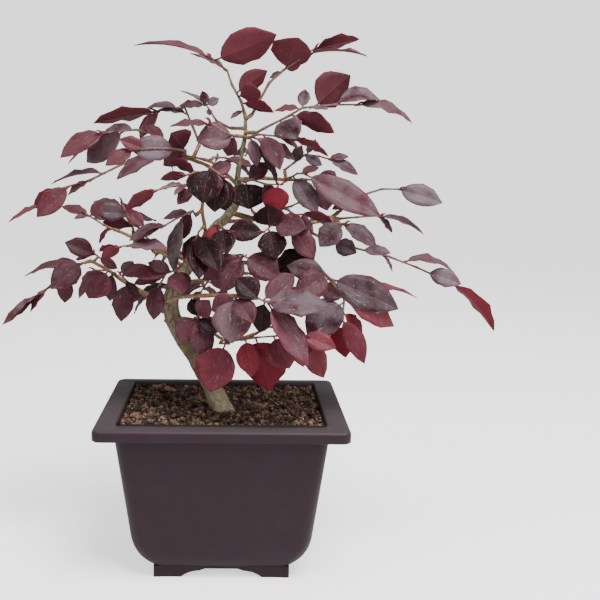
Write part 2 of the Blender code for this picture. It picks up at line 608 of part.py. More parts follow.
def grown_layout():
    """Every limb of the trunk and every spray's twig and leaves, bent clear of each other."""
    draw = random.Random(SEED)
    limbs = [("trunk", [plan(point) for point in TRUNK], [point[3] * MM for point in TRUNK])]
    for name, (route, start, end) in BRANCHES.items():
        limbs.append((name, [plan(point) for point in route], taper(start, end, len(route))))
    routes = {name: route for name, route, radii in limbs}

    starts = {}
    for name, spray in list(SPRAYS.items()) + list(HIDDEN_SPRAYS.items()):
        hidden = name in HIDDEN_SPRAYS
        branch, twig = (spray[0], spray[1]) if hidden else (spray["branch"], spray["twig"])
        twig = [plan(point) for point in twig]
        root = nearest_on_route(routes[branch], twig[0], False)
        direction = (twig[0] - root).normalized()
        length = sum((b - a).length for a, b in zip(twig, twig[1:]))
        thick = 0.75 + min(0.4, length / MM / 120)
        limbs.append(("spur_" + name, [root, twig[0] - direction * GAP], [(thick + 0.2) * MM] * 2))
        starts[name] = (twig, direction, thick)

    placed = []
    for name, route, radii in limbs:
        placed.append(("trunk", shape_tree(limb_mesh(route, radii, 8))))
    sprays = {}
    for name, (twig, direction, thick) in starts.items():
        radii = taper(thick, 0.6, len(twig) + 1)
        others = [shape for owner, shape in placed]
        route = bend_twig_clear(twig, direction, radii, others)
        placed.append((name, shape_tree(limb_mesh(route, radii, TWIG_SIDES))))
        sprays[name] = dict(route=route, radii=radii, leaves=[])

    for name, spray in sprays.items():
        if name in HIDDEN_SPRAYS:
            wanted = ruled_leaves(spray["route"], HIDDEN_SPRAYS[name][2], HIDDEN_SPRAYS[name][3], draw)
        else:
            wanted = []
            for index, numbers in enumerate(SPRAYS[name]["leaves"]):
                wanted.append(seen_leaf(numbers, spray["route"], draw, 1 if index % 2 else -1))
        own = []
        for base, tip, width, shown, arch in wanted:
            others = [shape for owner, shape in placed if owner != name]
            leaf = bend_leaf_clear(base, tip, width, shown, arch, others, own)
            spray["leaves"].append(leaf)
            own.append(shape_tree(leaf.mesh(LEAF_THICKNESS)))
        placed += [(name, shape) for shape in own]
    return limbs, sprays


def new_object(name, bm, colour, roughness, smooth_angle=None):
    """A named object with its own material, from a mesh that is then let go."""
    mesh = bpy.data.meshes.new(name)
    bm.to_mesh(mesh)
    bm.free()
    if smooth_angle:
        mesh.shade_smooth()
        mesh.set_sharp_from_angle(angle=math.radians(smooth_angle))
    item = bpy.data.objects.new(name, mesh)
    bpy.context.scene.collection.objects.link(item)
    material = bpy.data.materials.new(name)
    material.use_nodes = True
    shader = material.node_tree.nodes["Principled BSDF"]
    shader.inputs["Base Color"].default_value = (*colour, 1)
    shader.inputs["Roughness"].default_value = roughness
    shader.inputs["Metallic"].default_value = 0
    mesh.materials.append(material)
    return item


def loose_object(bm, collection):
    """An unnamed piece in a collection, to be joined to or cut from another."""
    mesh = bpy.data.meshes.new("piece")
    bm.to_mesh(mesh)
    bm.free()
    item = bpy.data.objects.new("piece", mesh)
    collection.objects.link(item)
    return item


def combine(item, pieces, operation):
    """Joins pieces to an object, or cuts them from it, by one Boolean that is applied and cleared away."""
    collection = bpy.data.collections.new("pieces")
    bpy.context.scene.collection.children.link(collection)
    for bm in pieces:
        loose_object(bm, collection)
    modifier = item.modifiers.new("combine", "BOOLEAN")
    modifier.operation = operation
    modifier.solver = "EXACT"
    modifier.operand_type = "COLLECTION"
    modifier.collection = collection
    graph = bpy.context.evaluated_depsgraph_get()
    graph.update()
    old = item.data
    item.data = bpy.data.meshes.new_from_object(item.evaluated_get(graph))
    item.data.name = item.name
    item.modifiers.clear()
    bpy.data.meshes.remove(old)
    for piece in list(collection.objects):
        mesh = piece.data
        bpy.data.objects.remove(piece)
        bpy.data.meshes.remove(mesh)
    bpy.data.collections.remove(collection)


def rounded_loop(half_x, half_y, radius, z):
    """Points round a rectangle with rounded corners, anticlockwise from above."""
    points = []
    for corner in range(4):
        start = corner * math.pi / 2
        centre_x = (half_x - radius) * (1 if corner in (0, 3) else -1)
        centre_y = (half_y - radius) * (1 if corner in (0, 1) else -1)
        for step in range(CORNER_STEPS + 1):
            angle = start + step * math.pi / 2 / CORNER_STEPS
            x = centre_x + radius * math.cos(angle)
            y = centre_y + radius * math.sin(angle)
            points.append(Vector((x, y, z)))
    return points


def pot_inside(clear):
    """The pot's inner wall from its floor to its mouth, drawn in by a clearance."""
    mouth_x, mouth_y = MOUTH_HALF_WIDTH, MOUTH_HALF_DEPTH
    sizes = [
        (mouth_x - 22.8 * MM, mouth_y - 18.4 * MM, 6 * MM, FLOOR_TOP),
        (mouth_x - 17.8 * MM, mouth_y - 14.2 * MM, 7 * MM, FLOOR_TOP + 2.6 * MM),
        (mouth_x - 11.4 * MM, mouth_y - 10.6 * MM, 8 * MM, FLOOR_TOP + 8.6 * MM),
        (mouth_x - 8.8 * MM, mouth_y - 8.6 * MM, 8 * MM, FLOOR_TOP + 18 * MM),
        (mouth_x - 1.2 * MM, mouth_y - 1.0 * MM, 4 * MM, POT_HEIGHT - 6 * MM),
        (mouth_x - 0.6 * MM, mouth_y - 0.6 * MM, 3.5 * MM, POT_HEIGHT - 0.8 * MM),
    ]
    return [rounded_loop(x - clear, y - clear, radius, z) for x, y, radius, z in sizes]


def pot_outside():
    """The pot's outer wall from its underside to the lip that hangs from its rim."""
    inner_x = MOUTH_HALF_WIDTH + WALL - 1.0 * MM
    inner_y = MOUTH_HALF_DEPTH + WALL - 1.0 * MM
    flange = POT_HEIGHT - RIM_THICKNESS
    lip_bottom = POT_HEIGHT - RIM_LIP
    x, y = RIM_HALF_WIDTH, RIM_HALF_DEPTH
    sizes = [
        (FOOT_HALF_WIDTH - 2.4 * MM, FOOT_HALF_DEPTH - 2.6 * MM, 7 * MM, UNDERSIDE),
        (FOOT_HALF_WIDTH + 0.8 * MM, FOOT_HALF_DEPTH + 0.3 * MM, 8 * MM, UNDERSIDE + 1.9 * MM),
        (FOOT_HALF_WIDTH + 4.2 * MM, FOOT_HALF_DEPTH + 2.1 * MM, 9 * MM, UNDERSIDE + 3.9 * MM),
        (FOOT_HALF_WIDTH + 9.0 * MM, FOOT_HALF_DEPTH + 4.6 * MM, 10 * MM, UNDERSIDE + 8.4 * MM),
        (FOOT_HALF_WIDTH + 12.6 * MM, FOOT_HALF_DEPTH + 6.7 * MM, 10 * MM, UNDERSIDE + 15 * MM),
        (FOOT_HALF_WIDTH + 14.4 * MM, FOOT_HALF_DEPTH + 7.8 * MM, 10 * MM, UNDERSIDE + 22 * MM),
        (inner_x, inner_y, 6 * MM, lip_bottom + 0.2 * MM),
        (inner_x + 1.6 * MM, inner_y + 1.6 * MM, 6 * MM, lip_bottom + 1.4 * MM),
        (inner_x + 1.6 * MM, inner_y + 1.6 * MM, 6 * MM, flange),
        (x - WALL, y - WALL, 3.4 * MM, flange),
        (x - WALL, y - WALL, 3.4 * MM, lip_bottom),
        (x - 0.5 * MM, y - 0.5 * MM, 5 * MM, lip_bottom),
        (x, y, 5.4 * MM, lip_bottom + 0.7 * MM),
        (x, y, 5.4 * MM, POT_HEIGHT - 1.9 * MM),
        (x - 0.7 * MM, y - 0.7 * MM, 4.9 * MM, POT_HEIGHT - 0.6 * MM),
        (x - 2.0 * MM, y - 2.0 * MM, 4.2 * MM, POT_HEIGHT),
    ]
    return [rounded_loop(*size) for size in sizes]


def foot_skirt(half, face, across, outward):
    """A skirt under one side of the pot: a foot at each end and a low bracket arch between them."""
    bracket = [(0, 0), (17.5, 0), (19.4, 1.4), (23.0, 3.1), (26.2, 3.9), (29.4, 4.3), (31.0, 4.9),
               (33.0, 5.6)]
    outline = [(run * MM - half, height * MM) for run, height in bracket]
    outline += [(half - run * MM, height * MM) for run, height in bracket[::-1]]
    outline += [(half, FLOOR_TOP - 0.6 * MM), (-half, FLOOR_TOP - 0.6 * MM)]
    bm = bmesh.new()
    verts = [bm.verts.new(across * run + outward * face + UP * height) for run, height in outline]
    grown = bmesh.ops.extrude_face_region(bm, geom=[bm.faces.new(verts)])["geom"]
    moved = [item for item in grown if isinstance(item, bmesh.types.BMVert)]
    bmesh.ops.translate(bm, vec=-outward * FOOT_THICKNESS, verts=moved)
    bmesh.ops.recalc_face_normals(bm, faces=bm.faces[:])
    return bm


def round_cutter(x, y, radius, bottom, top, sides=16):
    """An upright cylinder."""
    bm = bmesh.new()
    place = Matrix.Translation((x, y, (bottom + top) / 2))
    bmesh.ops.create_cone(bm, cap_ends=True, segments=sides, radius1=radius, radius2=radius,
                          depth=top - bottom, matrix=place)
    return bm


def make_pot():
    """The moulded pot: a thin shell with a flanged rim and a hanging lip, four feet and drain holes."""
    rim_top = rounded_loop(MOUTH_HALF_WIDTH, MOUTH_HALF_DEPTH, 4 * MM, POT_HEIGHT)
    shell = stacked_loops(pot_outside() + [rim_top] + pot_inside(0)[::-1])
    pot = new_object("pot", shell, (0.045, 0.031, 0.036), 0.42, 35)
    skirts = []
    for side in (-1, 1):
        skirts.append(foot_skirt(FOOT_HALF_WIDTH, FOOT_HALF_DEPTH, ACROSS, BACK * side))
        skirts.append(foot_skirt(FOOT_HALF_DEPTH, FOOT_HALF_WIDTH, BACK, ACROSS * side))
    combine(pot, skirts, "UNION")
    bottom, top = UNDERSIDE - 3 * MM, FLOOR_TOP + 3 * MM
    cutters = [round_cutter(side * 20 * MM, 0, BIG_DRAIN_RADIUS, bottom, top) for side in (-1, 1)]
    for x, y in ((-31, 18), (31, 18), (-31, -18), (31, -18)):
        cutters.append(round_cutter(x * MM, y * MM, SMALL_DRAIN_RADIUS, bottom, top, 10))
    combine(pot, cutters, "DIFFERENCE")
    return pot


def soil_height(x, y):
    """The soil's top at a place: crumbs of two sizes, a shallow dish, and a low mound at the trunk."""
    place = Vector((x, y, 0)) / MM
    crumbs = 0.65 * noise.noise(place / 8.5) + 0.45 * noise.noise(place / 4.2 + Vector((5, 3, 1)))
    mound = 1.6 * math.exp(-((place - MOUND_MIDDLE).length / 17) ** 2)
    dish = 0.9 * (abs(x) / RIM_HALF_WIDTH) ** 2
    return SOIL_LEVEL + SOIL_RELIEF * crumbs + (mound - dish) * MM


def make_soil(limbs):
    """The soil: it fills the pot to a little below the rim, with a plain hole round the buried trunk."""
    bm = bmesh.new()
    bmesh.ops.create_grid(bm, x_segments=SOIL_CELLS[0], y_segments=SOIL_CELLS[1], size=1)
    for vert in bm.verts:
        x, y = vert.co.x * RIM_HALF_WIDTH, vert.co.y * RIM_HALF_DEPTH
        vert.co = (x, y, soil_height(x, y))
    bmesh.ops.triangulate(bm, faces=bm.faces[:])
    sunk = bmesh.ops.extrude_face_region(bm, geom=bm.faces[:])["geom"]
    for item in sunk:
        if isinstance(item, bmesh.types.BMVert):
            item.co.z = 0
    bmesh.ops.recalc_face_normals(bm, faces=bm.faces[:])
    soil = new_object("soil", bm, (0.045, 0.024, 0.015), 0.95)
    inside = pot_inside(GAP)
    lowest = [point + UP * GAP for point in inside[0]]
    above = [point + UP * 6 * MM for point in inside[-1]]
    combine(soil, [stacked_loops([lowest] + inside[1:] + [above])], "INTERSECT")
    name, route, radii = limbs[0]
    buried = route[:BURIED_POINTS]
    buried[0] = buried[0] - UP * GAP
    wide = [radius + GAP * 1.35 for radius in radii[:BURIED_POINTS]]
    combine(soil, [limb_mesh(buried, wide, TRUNK_SIDES)], "DIFFERENCE")
    return soil


def make_trunk(limbs):
    """The trunk with the branches and spurs that grew with it, one body with knobbly bark."""
    name, route, radii = limbs[0]
    bm = limb_mesh(route, radii, TRUNK_SIDES)
    bm.normal_update()
    for vert in bm.verts:
        above = min(1, max(0, (vert.co.z - POT_HEIGHT) / (15 * MM)))
        vert.co += vert.normal * BARK_RELIEF * above * noise.noise(vert.co / (7 * MM))
    trunk = new_object("trunk", bm, (0.145, 0.108, 0.056), 0.85, 50)
    pieces = []
    for name, route, radii in limbs[1:]:
        pieces.append(limb_mesh(route, radii, BRANCH_SIDES if name in BRANCHES else TWIG_SIDES))
    combine(trunk, pieces, "UNION")
    return trunk


def make_spray(name, spray, colour):
    """A leafy spray: its twig with every leaf joined to it."""
    route = spray["route"]
    first = (route[1] - route[0]).normalized()
    twig = limb_mesh(route, spray["radii"], TWIG_SIDES, first)
    item = new_object(name, twig, colour, 0.5, 40)
    combine(item, [leaf.mesh(LEAF_THICKNESS) for leaf in spray["leaves"]], "UNION")
    return item


def centre_over_origin(items):
    """Moves the whole model so that its box stands centred over the origin."""
    corners = [vert.co for item in items for vert in item.data.vertices]
    low = [min(corner[axis] for corner in corners) for axis in range(3)]
    high = [max(corner[axis] for corner in corners) for axis in range(3)]
    shift = Vector((-(low[0] + high[0]) / 2, -(low[1] + high[1]) / 2, -low[2]))
    for item in items:
        item.data.transform(Matrix.Translation(shift))
    print("moved by", [round(value / MM, 3) for value in shift])
    print("size", [round((b - a) / MM, 2) for a, b in zip(low, high)])


def main():
    for item in list(bpy.data.objects):
        bpy.data.objects.remove(item)
    limbs, sprays = grown_layout()
    items = [make_pot(), make_soil(limbs), make_trunk(limbs)]
    draw = random.Random(SEED + 1)
    for name, spray in sprays.items():
        tone = draw.random()
        colour = (0.06 + 0.07 * tone, 0.016 + 0.012 * tone, 0.024 + 0.02 * tone)
        items.append(make_spray(name, spray, colour))
    centre_over_origin(items)
    for item in items:
        item.data.calc_loop_triangles()
        print(item.name, len(item.data.loop_triangles))
    print("triangles", sum(len(item.data.loop_triangles) for item in items))
    print("leaves", sum(len(spray["leaves"]) for spray in sprays.values()))


main()
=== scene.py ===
# %% [markdown]
# # A chinese fringe flower bonsai
#
# The object is a small potted tree: a moulded plastic pot, soil, a leaning trunk with thin branches, and
# leafy sprays of burgundy leaves. The solids of the model are already in place when this lesson starts.
# They are plain and faceted, so each of them is replaced here by a finer piece of the same form.

# %% Load the frame
import json
import math
import random

import bmesh
import bpy
from mathutils import Matrix, Vector, noise
from mathutils.bvhtree import BVHTree

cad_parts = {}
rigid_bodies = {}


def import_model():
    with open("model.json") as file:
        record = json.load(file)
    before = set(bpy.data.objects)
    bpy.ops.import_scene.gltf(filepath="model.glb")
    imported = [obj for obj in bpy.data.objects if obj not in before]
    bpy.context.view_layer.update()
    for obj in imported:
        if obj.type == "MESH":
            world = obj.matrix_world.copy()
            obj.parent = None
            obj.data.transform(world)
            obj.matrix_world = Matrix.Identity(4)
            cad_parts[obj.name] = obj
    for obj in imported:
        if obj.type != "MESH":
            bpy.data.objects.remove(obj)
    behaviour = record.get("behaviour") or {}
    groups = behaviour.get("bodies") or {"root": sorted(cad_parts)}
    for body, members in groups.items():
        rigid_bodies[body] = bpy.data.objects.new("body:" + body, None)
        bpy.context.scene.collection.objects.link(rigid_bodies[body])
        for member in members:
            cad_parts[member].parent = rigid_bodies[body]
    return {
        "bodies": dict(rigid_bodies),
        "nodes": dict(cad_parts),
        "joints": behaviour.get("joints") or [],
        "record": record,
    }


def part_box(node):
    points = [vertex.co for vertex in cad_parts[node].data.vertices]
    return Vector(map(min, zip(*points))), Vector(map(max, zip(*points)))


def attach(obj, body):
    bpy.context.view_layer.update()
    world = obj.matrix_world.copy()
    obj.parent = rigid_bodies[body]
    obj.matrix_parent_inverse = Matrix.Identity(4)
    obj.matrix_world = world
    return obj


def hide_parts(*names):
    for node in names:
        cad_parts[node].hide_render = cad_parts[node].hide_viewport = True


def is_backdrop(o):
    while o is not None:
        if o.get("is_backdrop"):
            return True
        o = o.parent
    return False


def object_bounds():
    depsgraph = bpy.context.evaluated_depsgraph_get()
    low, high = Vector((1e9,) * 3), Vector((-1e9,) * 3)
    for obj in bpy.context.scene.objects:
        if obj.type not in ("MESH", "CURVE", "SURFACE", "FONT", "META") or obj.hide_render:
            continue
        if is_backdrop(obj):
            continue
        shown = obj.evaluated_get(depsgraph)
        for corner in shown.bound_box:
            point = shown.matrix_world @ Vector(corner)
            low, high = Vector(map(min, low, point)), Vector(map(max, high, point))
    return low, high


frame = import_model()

solid_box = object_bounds()
print("solids:", len(frame["nodes"]), "box:", [round(value, 4) for value in solid_box[1] - solid_box[0]])

# %% [markdown]
# ## Sizes
#
# The pot is measured from its middle, so every piece is modelled round the pot's own centre line and moved
# as a whole at the end. The move is read from the pot's solid, which keeps both models in step.

# %% Sizes of the pot, the soil and the leaves
MM = 0.001
GAP = 0.3 * MM
UP = Vector((0, 0, 1))
ACROSS = Vector((1, 0, 0))
BACK = Vector((0, 1, 0))
POT_HEIGHT = 104 * MM
RIM_HALF_WIDTH = 78 * MM
RIM_HALF_DEPTH = 66 * MM
RIM_LIP = 7.2 * MM
RIM_THICKNESS = 2.7 * MM
MOUTH_HALF_WIDTH = 64.8 * MM
MOUTH_HALF_DEPTH = 53.8 * MM
WALL = 2.4 * MM
UNDERSIDE = 5.6 * MM
FLOOR_TOP = 8.2 * MM
FOOT_HALF_WIDTH = 43.3 * MM
FOOT_HALF_DEPTH = 40 * MM
FOOT_THICKNESS = 4.5 * MM
SOIL_LEVEL = 101.9 * MM
SOIL_RELIEF = 1.5 * MM
MOUND_MIDDLE = Vector((1, -14, 0))
LEAF_THICKNESS = 0.65 * MM
LEAF_WIDTH_SHARE = 0.5
LEAF_ARCH = 0.04
LEAF_FOLD = 0.14
PETIOLE_SHARE = 0.2
PETIOLE_HALF_WIDTH = 0.7 * MM
LEAF_ROOT = 1.3 * MM
LARGE_LEAF = 40 * MM
LARGE_ROWS = (0, 0.08, 0.32, 0.71, 1)
SMALL_ROWS = (0, 0.3, 0.7, 1)
CLEARANCE = 0.4 * MM
TWIG_SIDES = 4
EYE = Vector((9.4, -592, 267)) * MM
SIGHT_DIP = math.radians(9)
SHEET_TURN = math.radians(0.44)
SHEET_DISTANCE = 587.5 * MM
SHEET_MIDDLE = (10, 173)
SEED = 11

low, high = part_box("pot")
POT_MIDDLE = Vector(((low[0] + high[0]) / 2, (low[1] + high[1]) / 2, 0))
print("the pot's middle:", [round(value / MM, 2) for value in POT_MIDDLE], "mm")

# %% [markdown]
# ## Camera, floor and light
#
# The picture is taken a little from above with a medium lens. The lens is shifted sideways, because the pot
# stands left of the middle of the picture. The room is a plain studio bowl: a pale floor that curves up
# all round, so no horizon shows from any side. Soft light comes from above, from both sides and from the
# bowl itself.

# %% Camera
FOCAL_PIXELS = 918
PICTURE = 600
SENSOR = 36
camera_data = bpy.data.cameras.new("camera")
camera_data.sensor_width = SENSOR
camera_data.lens = FOCAL_PIXELS * SENSOR / PICTURE
camera_data.shift_x = 60.7 / PICTURE
camera_data.clip_start = 0.01
camera = bpy.data.objects.new("camera", camera_data)
bpy.context.scene.collection.objects.link(camera)
camera.location = POT_MIDDLE + EYE + Vector((0.1 * MM, 0, 0))
camera.rotation_euler = (math.pi / 2 - SIGHT_DIP, -SHEET_TURN, 0)
bpy.context.scene.camera = camera
print("lens", round(camera_data.lens, 1), "mm")

# %% Studio bowl
def plain_material(name, colour, roughness):
    """A material with one Principled shader, and that shader."""
    material = bpy.data.materials.new(name)
    material.use_nodes = True
    shader = material.node_tree.nodes["Principled BSDF"]
    shader.inputs["Base Color"].default_value = (*colour, 1)
    shader.inputs["Roughness"].default_value = roughness
    return material, shader


def finished_object(name, bm, materials, smooth_angle=None):
    """An object at the origin with its mesh moved to the pot's place."""
    mesh = bpy.data.meshes.new(name)
    bmesh.ops.translate(bm, vec=POT_MIDDLE, verts=bm.verts[:])
    bm.to_mesh(mesh)
    bm.free()
    if smooth_angle:
        mesh.shade_smooth()
        mesh.set_sharp_from_angle(angle=math.radians(smooth_angle))
    item = bpy.data.objects.new(name, mesh)
    bpy.context.scene.collection.objects.link(item)
    for material in materials:
        mesh.materials.append(material)
    return item


FLOOR_RADIUS = 1.9
BOWL_CURVE = 1.6
BOWL_TURN = math.radians(64)
BOWL_STEPS = 12
BOWL_SEGMENTS = 64
PAPER_GLOW = 0.06
PAPER_SEEN_GLOW = 1.1
bm = bmesh.new()
profile = [bm.verts.new((reach, 0, 0)) for reach in (0, FLOOR_RADIUS / 2, FLOOR_RADIUS)]
for step in range(1, BOWL_STEPS + 1):
    turn = BOWL_TURN * step / BOWL_STEPS
    place = (FLOOR_RADIUS + BOWL_CURVE * math.sin(turn), 0, BOWL_CURVE * (1 - math.cos(turn)))
    profile.append(bm.verts.new(place))
edges = [bm.edges.new(pair) for pair in zip(profile, profile[1:])]
bmesh.ops.spin(bm, geom=edges + profile, cent=(0, 0, 0), axis=UP, angle=2 * math.pi, steps=BOWL_SEGMENTS,
               use_merge=True)
bmesh.ops.remove_doubles(bm, verts=bm.verts[:], dist=0.1 * MM)
bmesh.ops.recalc_face_normals(bm, faces=bm.faces[:])
paper, shader = plain_material("studio_paper", (0.86, 0.86, 0.86), 0.9)
shader.inputs["Specular IOR Level"].default_value = 0.2
shader.inputs["Emission Color"].default_value = (1, 1, 1, 1)
tree = paper.node_tree
seen = tree.nodes.new("ShaderNodeLightPath").outputs["Is Camera Ray"]
glow = tree.nodes.new("ShaderNodeMapRange")
glow.inputs["To Min"].default_value = PAPER_GLOW
glow.inputs["To Max"].default_value = PAPER_SEEN_GLOW
tree.links.new(seen, glow.inputs["Value"])
tree.links.new(glow.outputs["Result"], shader.inputs["Emission Strength"])
bowl = finished_object("studio_bowl", bm, [paper], 60)
bowl.visible_shadow = False
bowl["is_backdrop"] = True
print("bowl faces:", len(bowl.data.polygons))

# %% Soft studio light
def soft_light(name, place, size, power, aim):
    """A square area light that looks at a point."""
    data = bpy.data.lights.new(name, "AREA")
    data.shape = "SQUARE"
    data.size = size
    data.energy = power
    item = bpy.data.objects.new(name, data)
    bpy.context.scene.collection.objects.link(item)
    item.location = POT_MIDDLE + Vector(place)
    item.rotation_euler = (Vector(aim) - Vector(place)).to_track_quat("-Z", "Y").to_euler()
    return item


soft_light("overhead_light", (0.35, -0.55, 1.45), 0.7, 42, (0, 0, 0.2))
soft_light("left_light", (-1.3, -0.9, 0.8), 0.6, 5, (0, 0, 0.18))
soft_light("right_light", (1.0, -1.2, 0.95), 0.35, 9, (0.03, 0, 0.12))
world = bpy.data.worlds.new("pale_room")
bpy.context.scene.world = world
world.use_nodes = True
world.node_tree.nodes["Background"].inputs["Color"].default_value = (1, 1, 1, 1)
world.node_tree.nodes["Background"].inputs["Strength"].default_value = 0.5

# %% [markdown]
# ## The branch plan
#
# A real bonsai is never regular, so the trunk, the branches and the leafy sprays are drawn on a branch
# plan, as a grower would sketch them from the front. The plan is a sheet near the trunk, square to the
# line of sight. Depth then moves a point along its own line of sight, so a leaf can stand nearer or
# farther without changing how it is seen.

# %% From the plan to the model
def plan(point):
    """A plan point (across, depth, up) in millimetres as a place in metres."""
    across, depth, up = point[:3]
    sheet = Vector((across - SHEET_MIDDLE[0], 0, up - SHEET_MIDDLE[1])) * MM
    sheet = Matrix.Rotation(-SHEET_TURN, 3, "Y") @ sheet
    ahead = Matrix.Rotation(-SIGHT_DIP, 3, "X") @ (sheet + Vector((0, SHEET_DISTANCE, 0)))
    return EYE + ahead * (depth * MM - EYE.y) / ahead.y


print("a point 20 mm behind the pot's middle:", [round(value / MM, 1) for value in plan((0, 20, 200))])

# %% The trunk and its branches
# The trunk's centre line with its radius at each point: (across, depth, up, radius).
TRUNK = [
    (3, -14, 74, 5.0), (3, -14, 88, 7.4), (1, -14, 98, 7.6), (-1, -12.5, 105, 6.8), (-8, -9, 119, 5.8),
    (-18, -5, 137, 5.2), (-29, -3, 155, 5.2), (-33, -3, 172, 5.4), (-26, -2, 189, 4.5),
    (-15, 0, 205, 3.9), (-7, 2, 217, 3.4), (5, 3, 229, 3.0), (10, 3, 240, 2.5), (10, 1, 255, 1.9),
    (14, 0, 275, 1.3), (15, 0, 289, 1.0),
]

# Branches that grew with the trunk: where each leaves it, its route and its radius at both ends.
BRANCHES = {
    "low_front": (
        [(-32, -3, 173), (-37, -14, 172), (-25, -26, 175), (4, -42, 176), (18, -50, 174)], 1.6, 1.1),
    "low_twiggy": (
        [(-30, -3, 160), (-24, -14, 161), (-13, -24, 158), (0, -32, 148), (12, -38, 148)], 1.5, 1.0),
    "low_left": ([(-32, -3, 172), (-47, 0, 176), (-63, 4, 185), (-73, 7, 192), (-84, 9, 198)], 1.9, 1.0),
    "low_right": ([(-17, 0, 205), (5, 4, 198), (25, -4, 197), (40, -12, 200), (54, -18, 203)], 1.8, 1.1),
    "right": ([(5, 3, 229), (20, -4, 225), (38, -10, 221), (55, -12, 222), (69, -12, 225)], 1.8, 1.1),
    "right_upper": ([(10, 1, 250), (24, 8, 251), (40, 12, 250), (50, 14, 250)], 1.5, 1.0),
    "left_upper": ([(10, 3, 241), (0, 0, 250), (-8, -2, 258), (-20, -2, 263), (-32, 0, 267)], 1.6, 1.0),
    "left_middle": (
        [(-22, -1, 198), (-33, -10, 203), (-45, -18, 208), (-57, -24, 213), (-66, -28, 217)], 1.6, 1.0),
    "centre_front": ([(-15, 0, 208), (-11, -14, 216), (-13, -26, 232), (-10, -34, 246)], 1.4, 1.0),
    "back_low": ([(-30, -3, 180), (-26, 18, 184), (-10, 38, 186), (12, 52, 190)], 1.7, 1.0),
    "back_left": ([(-24, -2, 194), (-40, 20, 204), (-52, 42, 212)], 1.6, 1.0),
    "back_right": ([(-2, 2, 223), (16, 24, 224), (36, 44, 226)], 1.6, 1.0),
    "back_upper": ([(10, 2, 246), (2, 18, 254), (-8, 34, 262)], 1.4, 0.9),
}
print("branches:", len(BRANCHES))

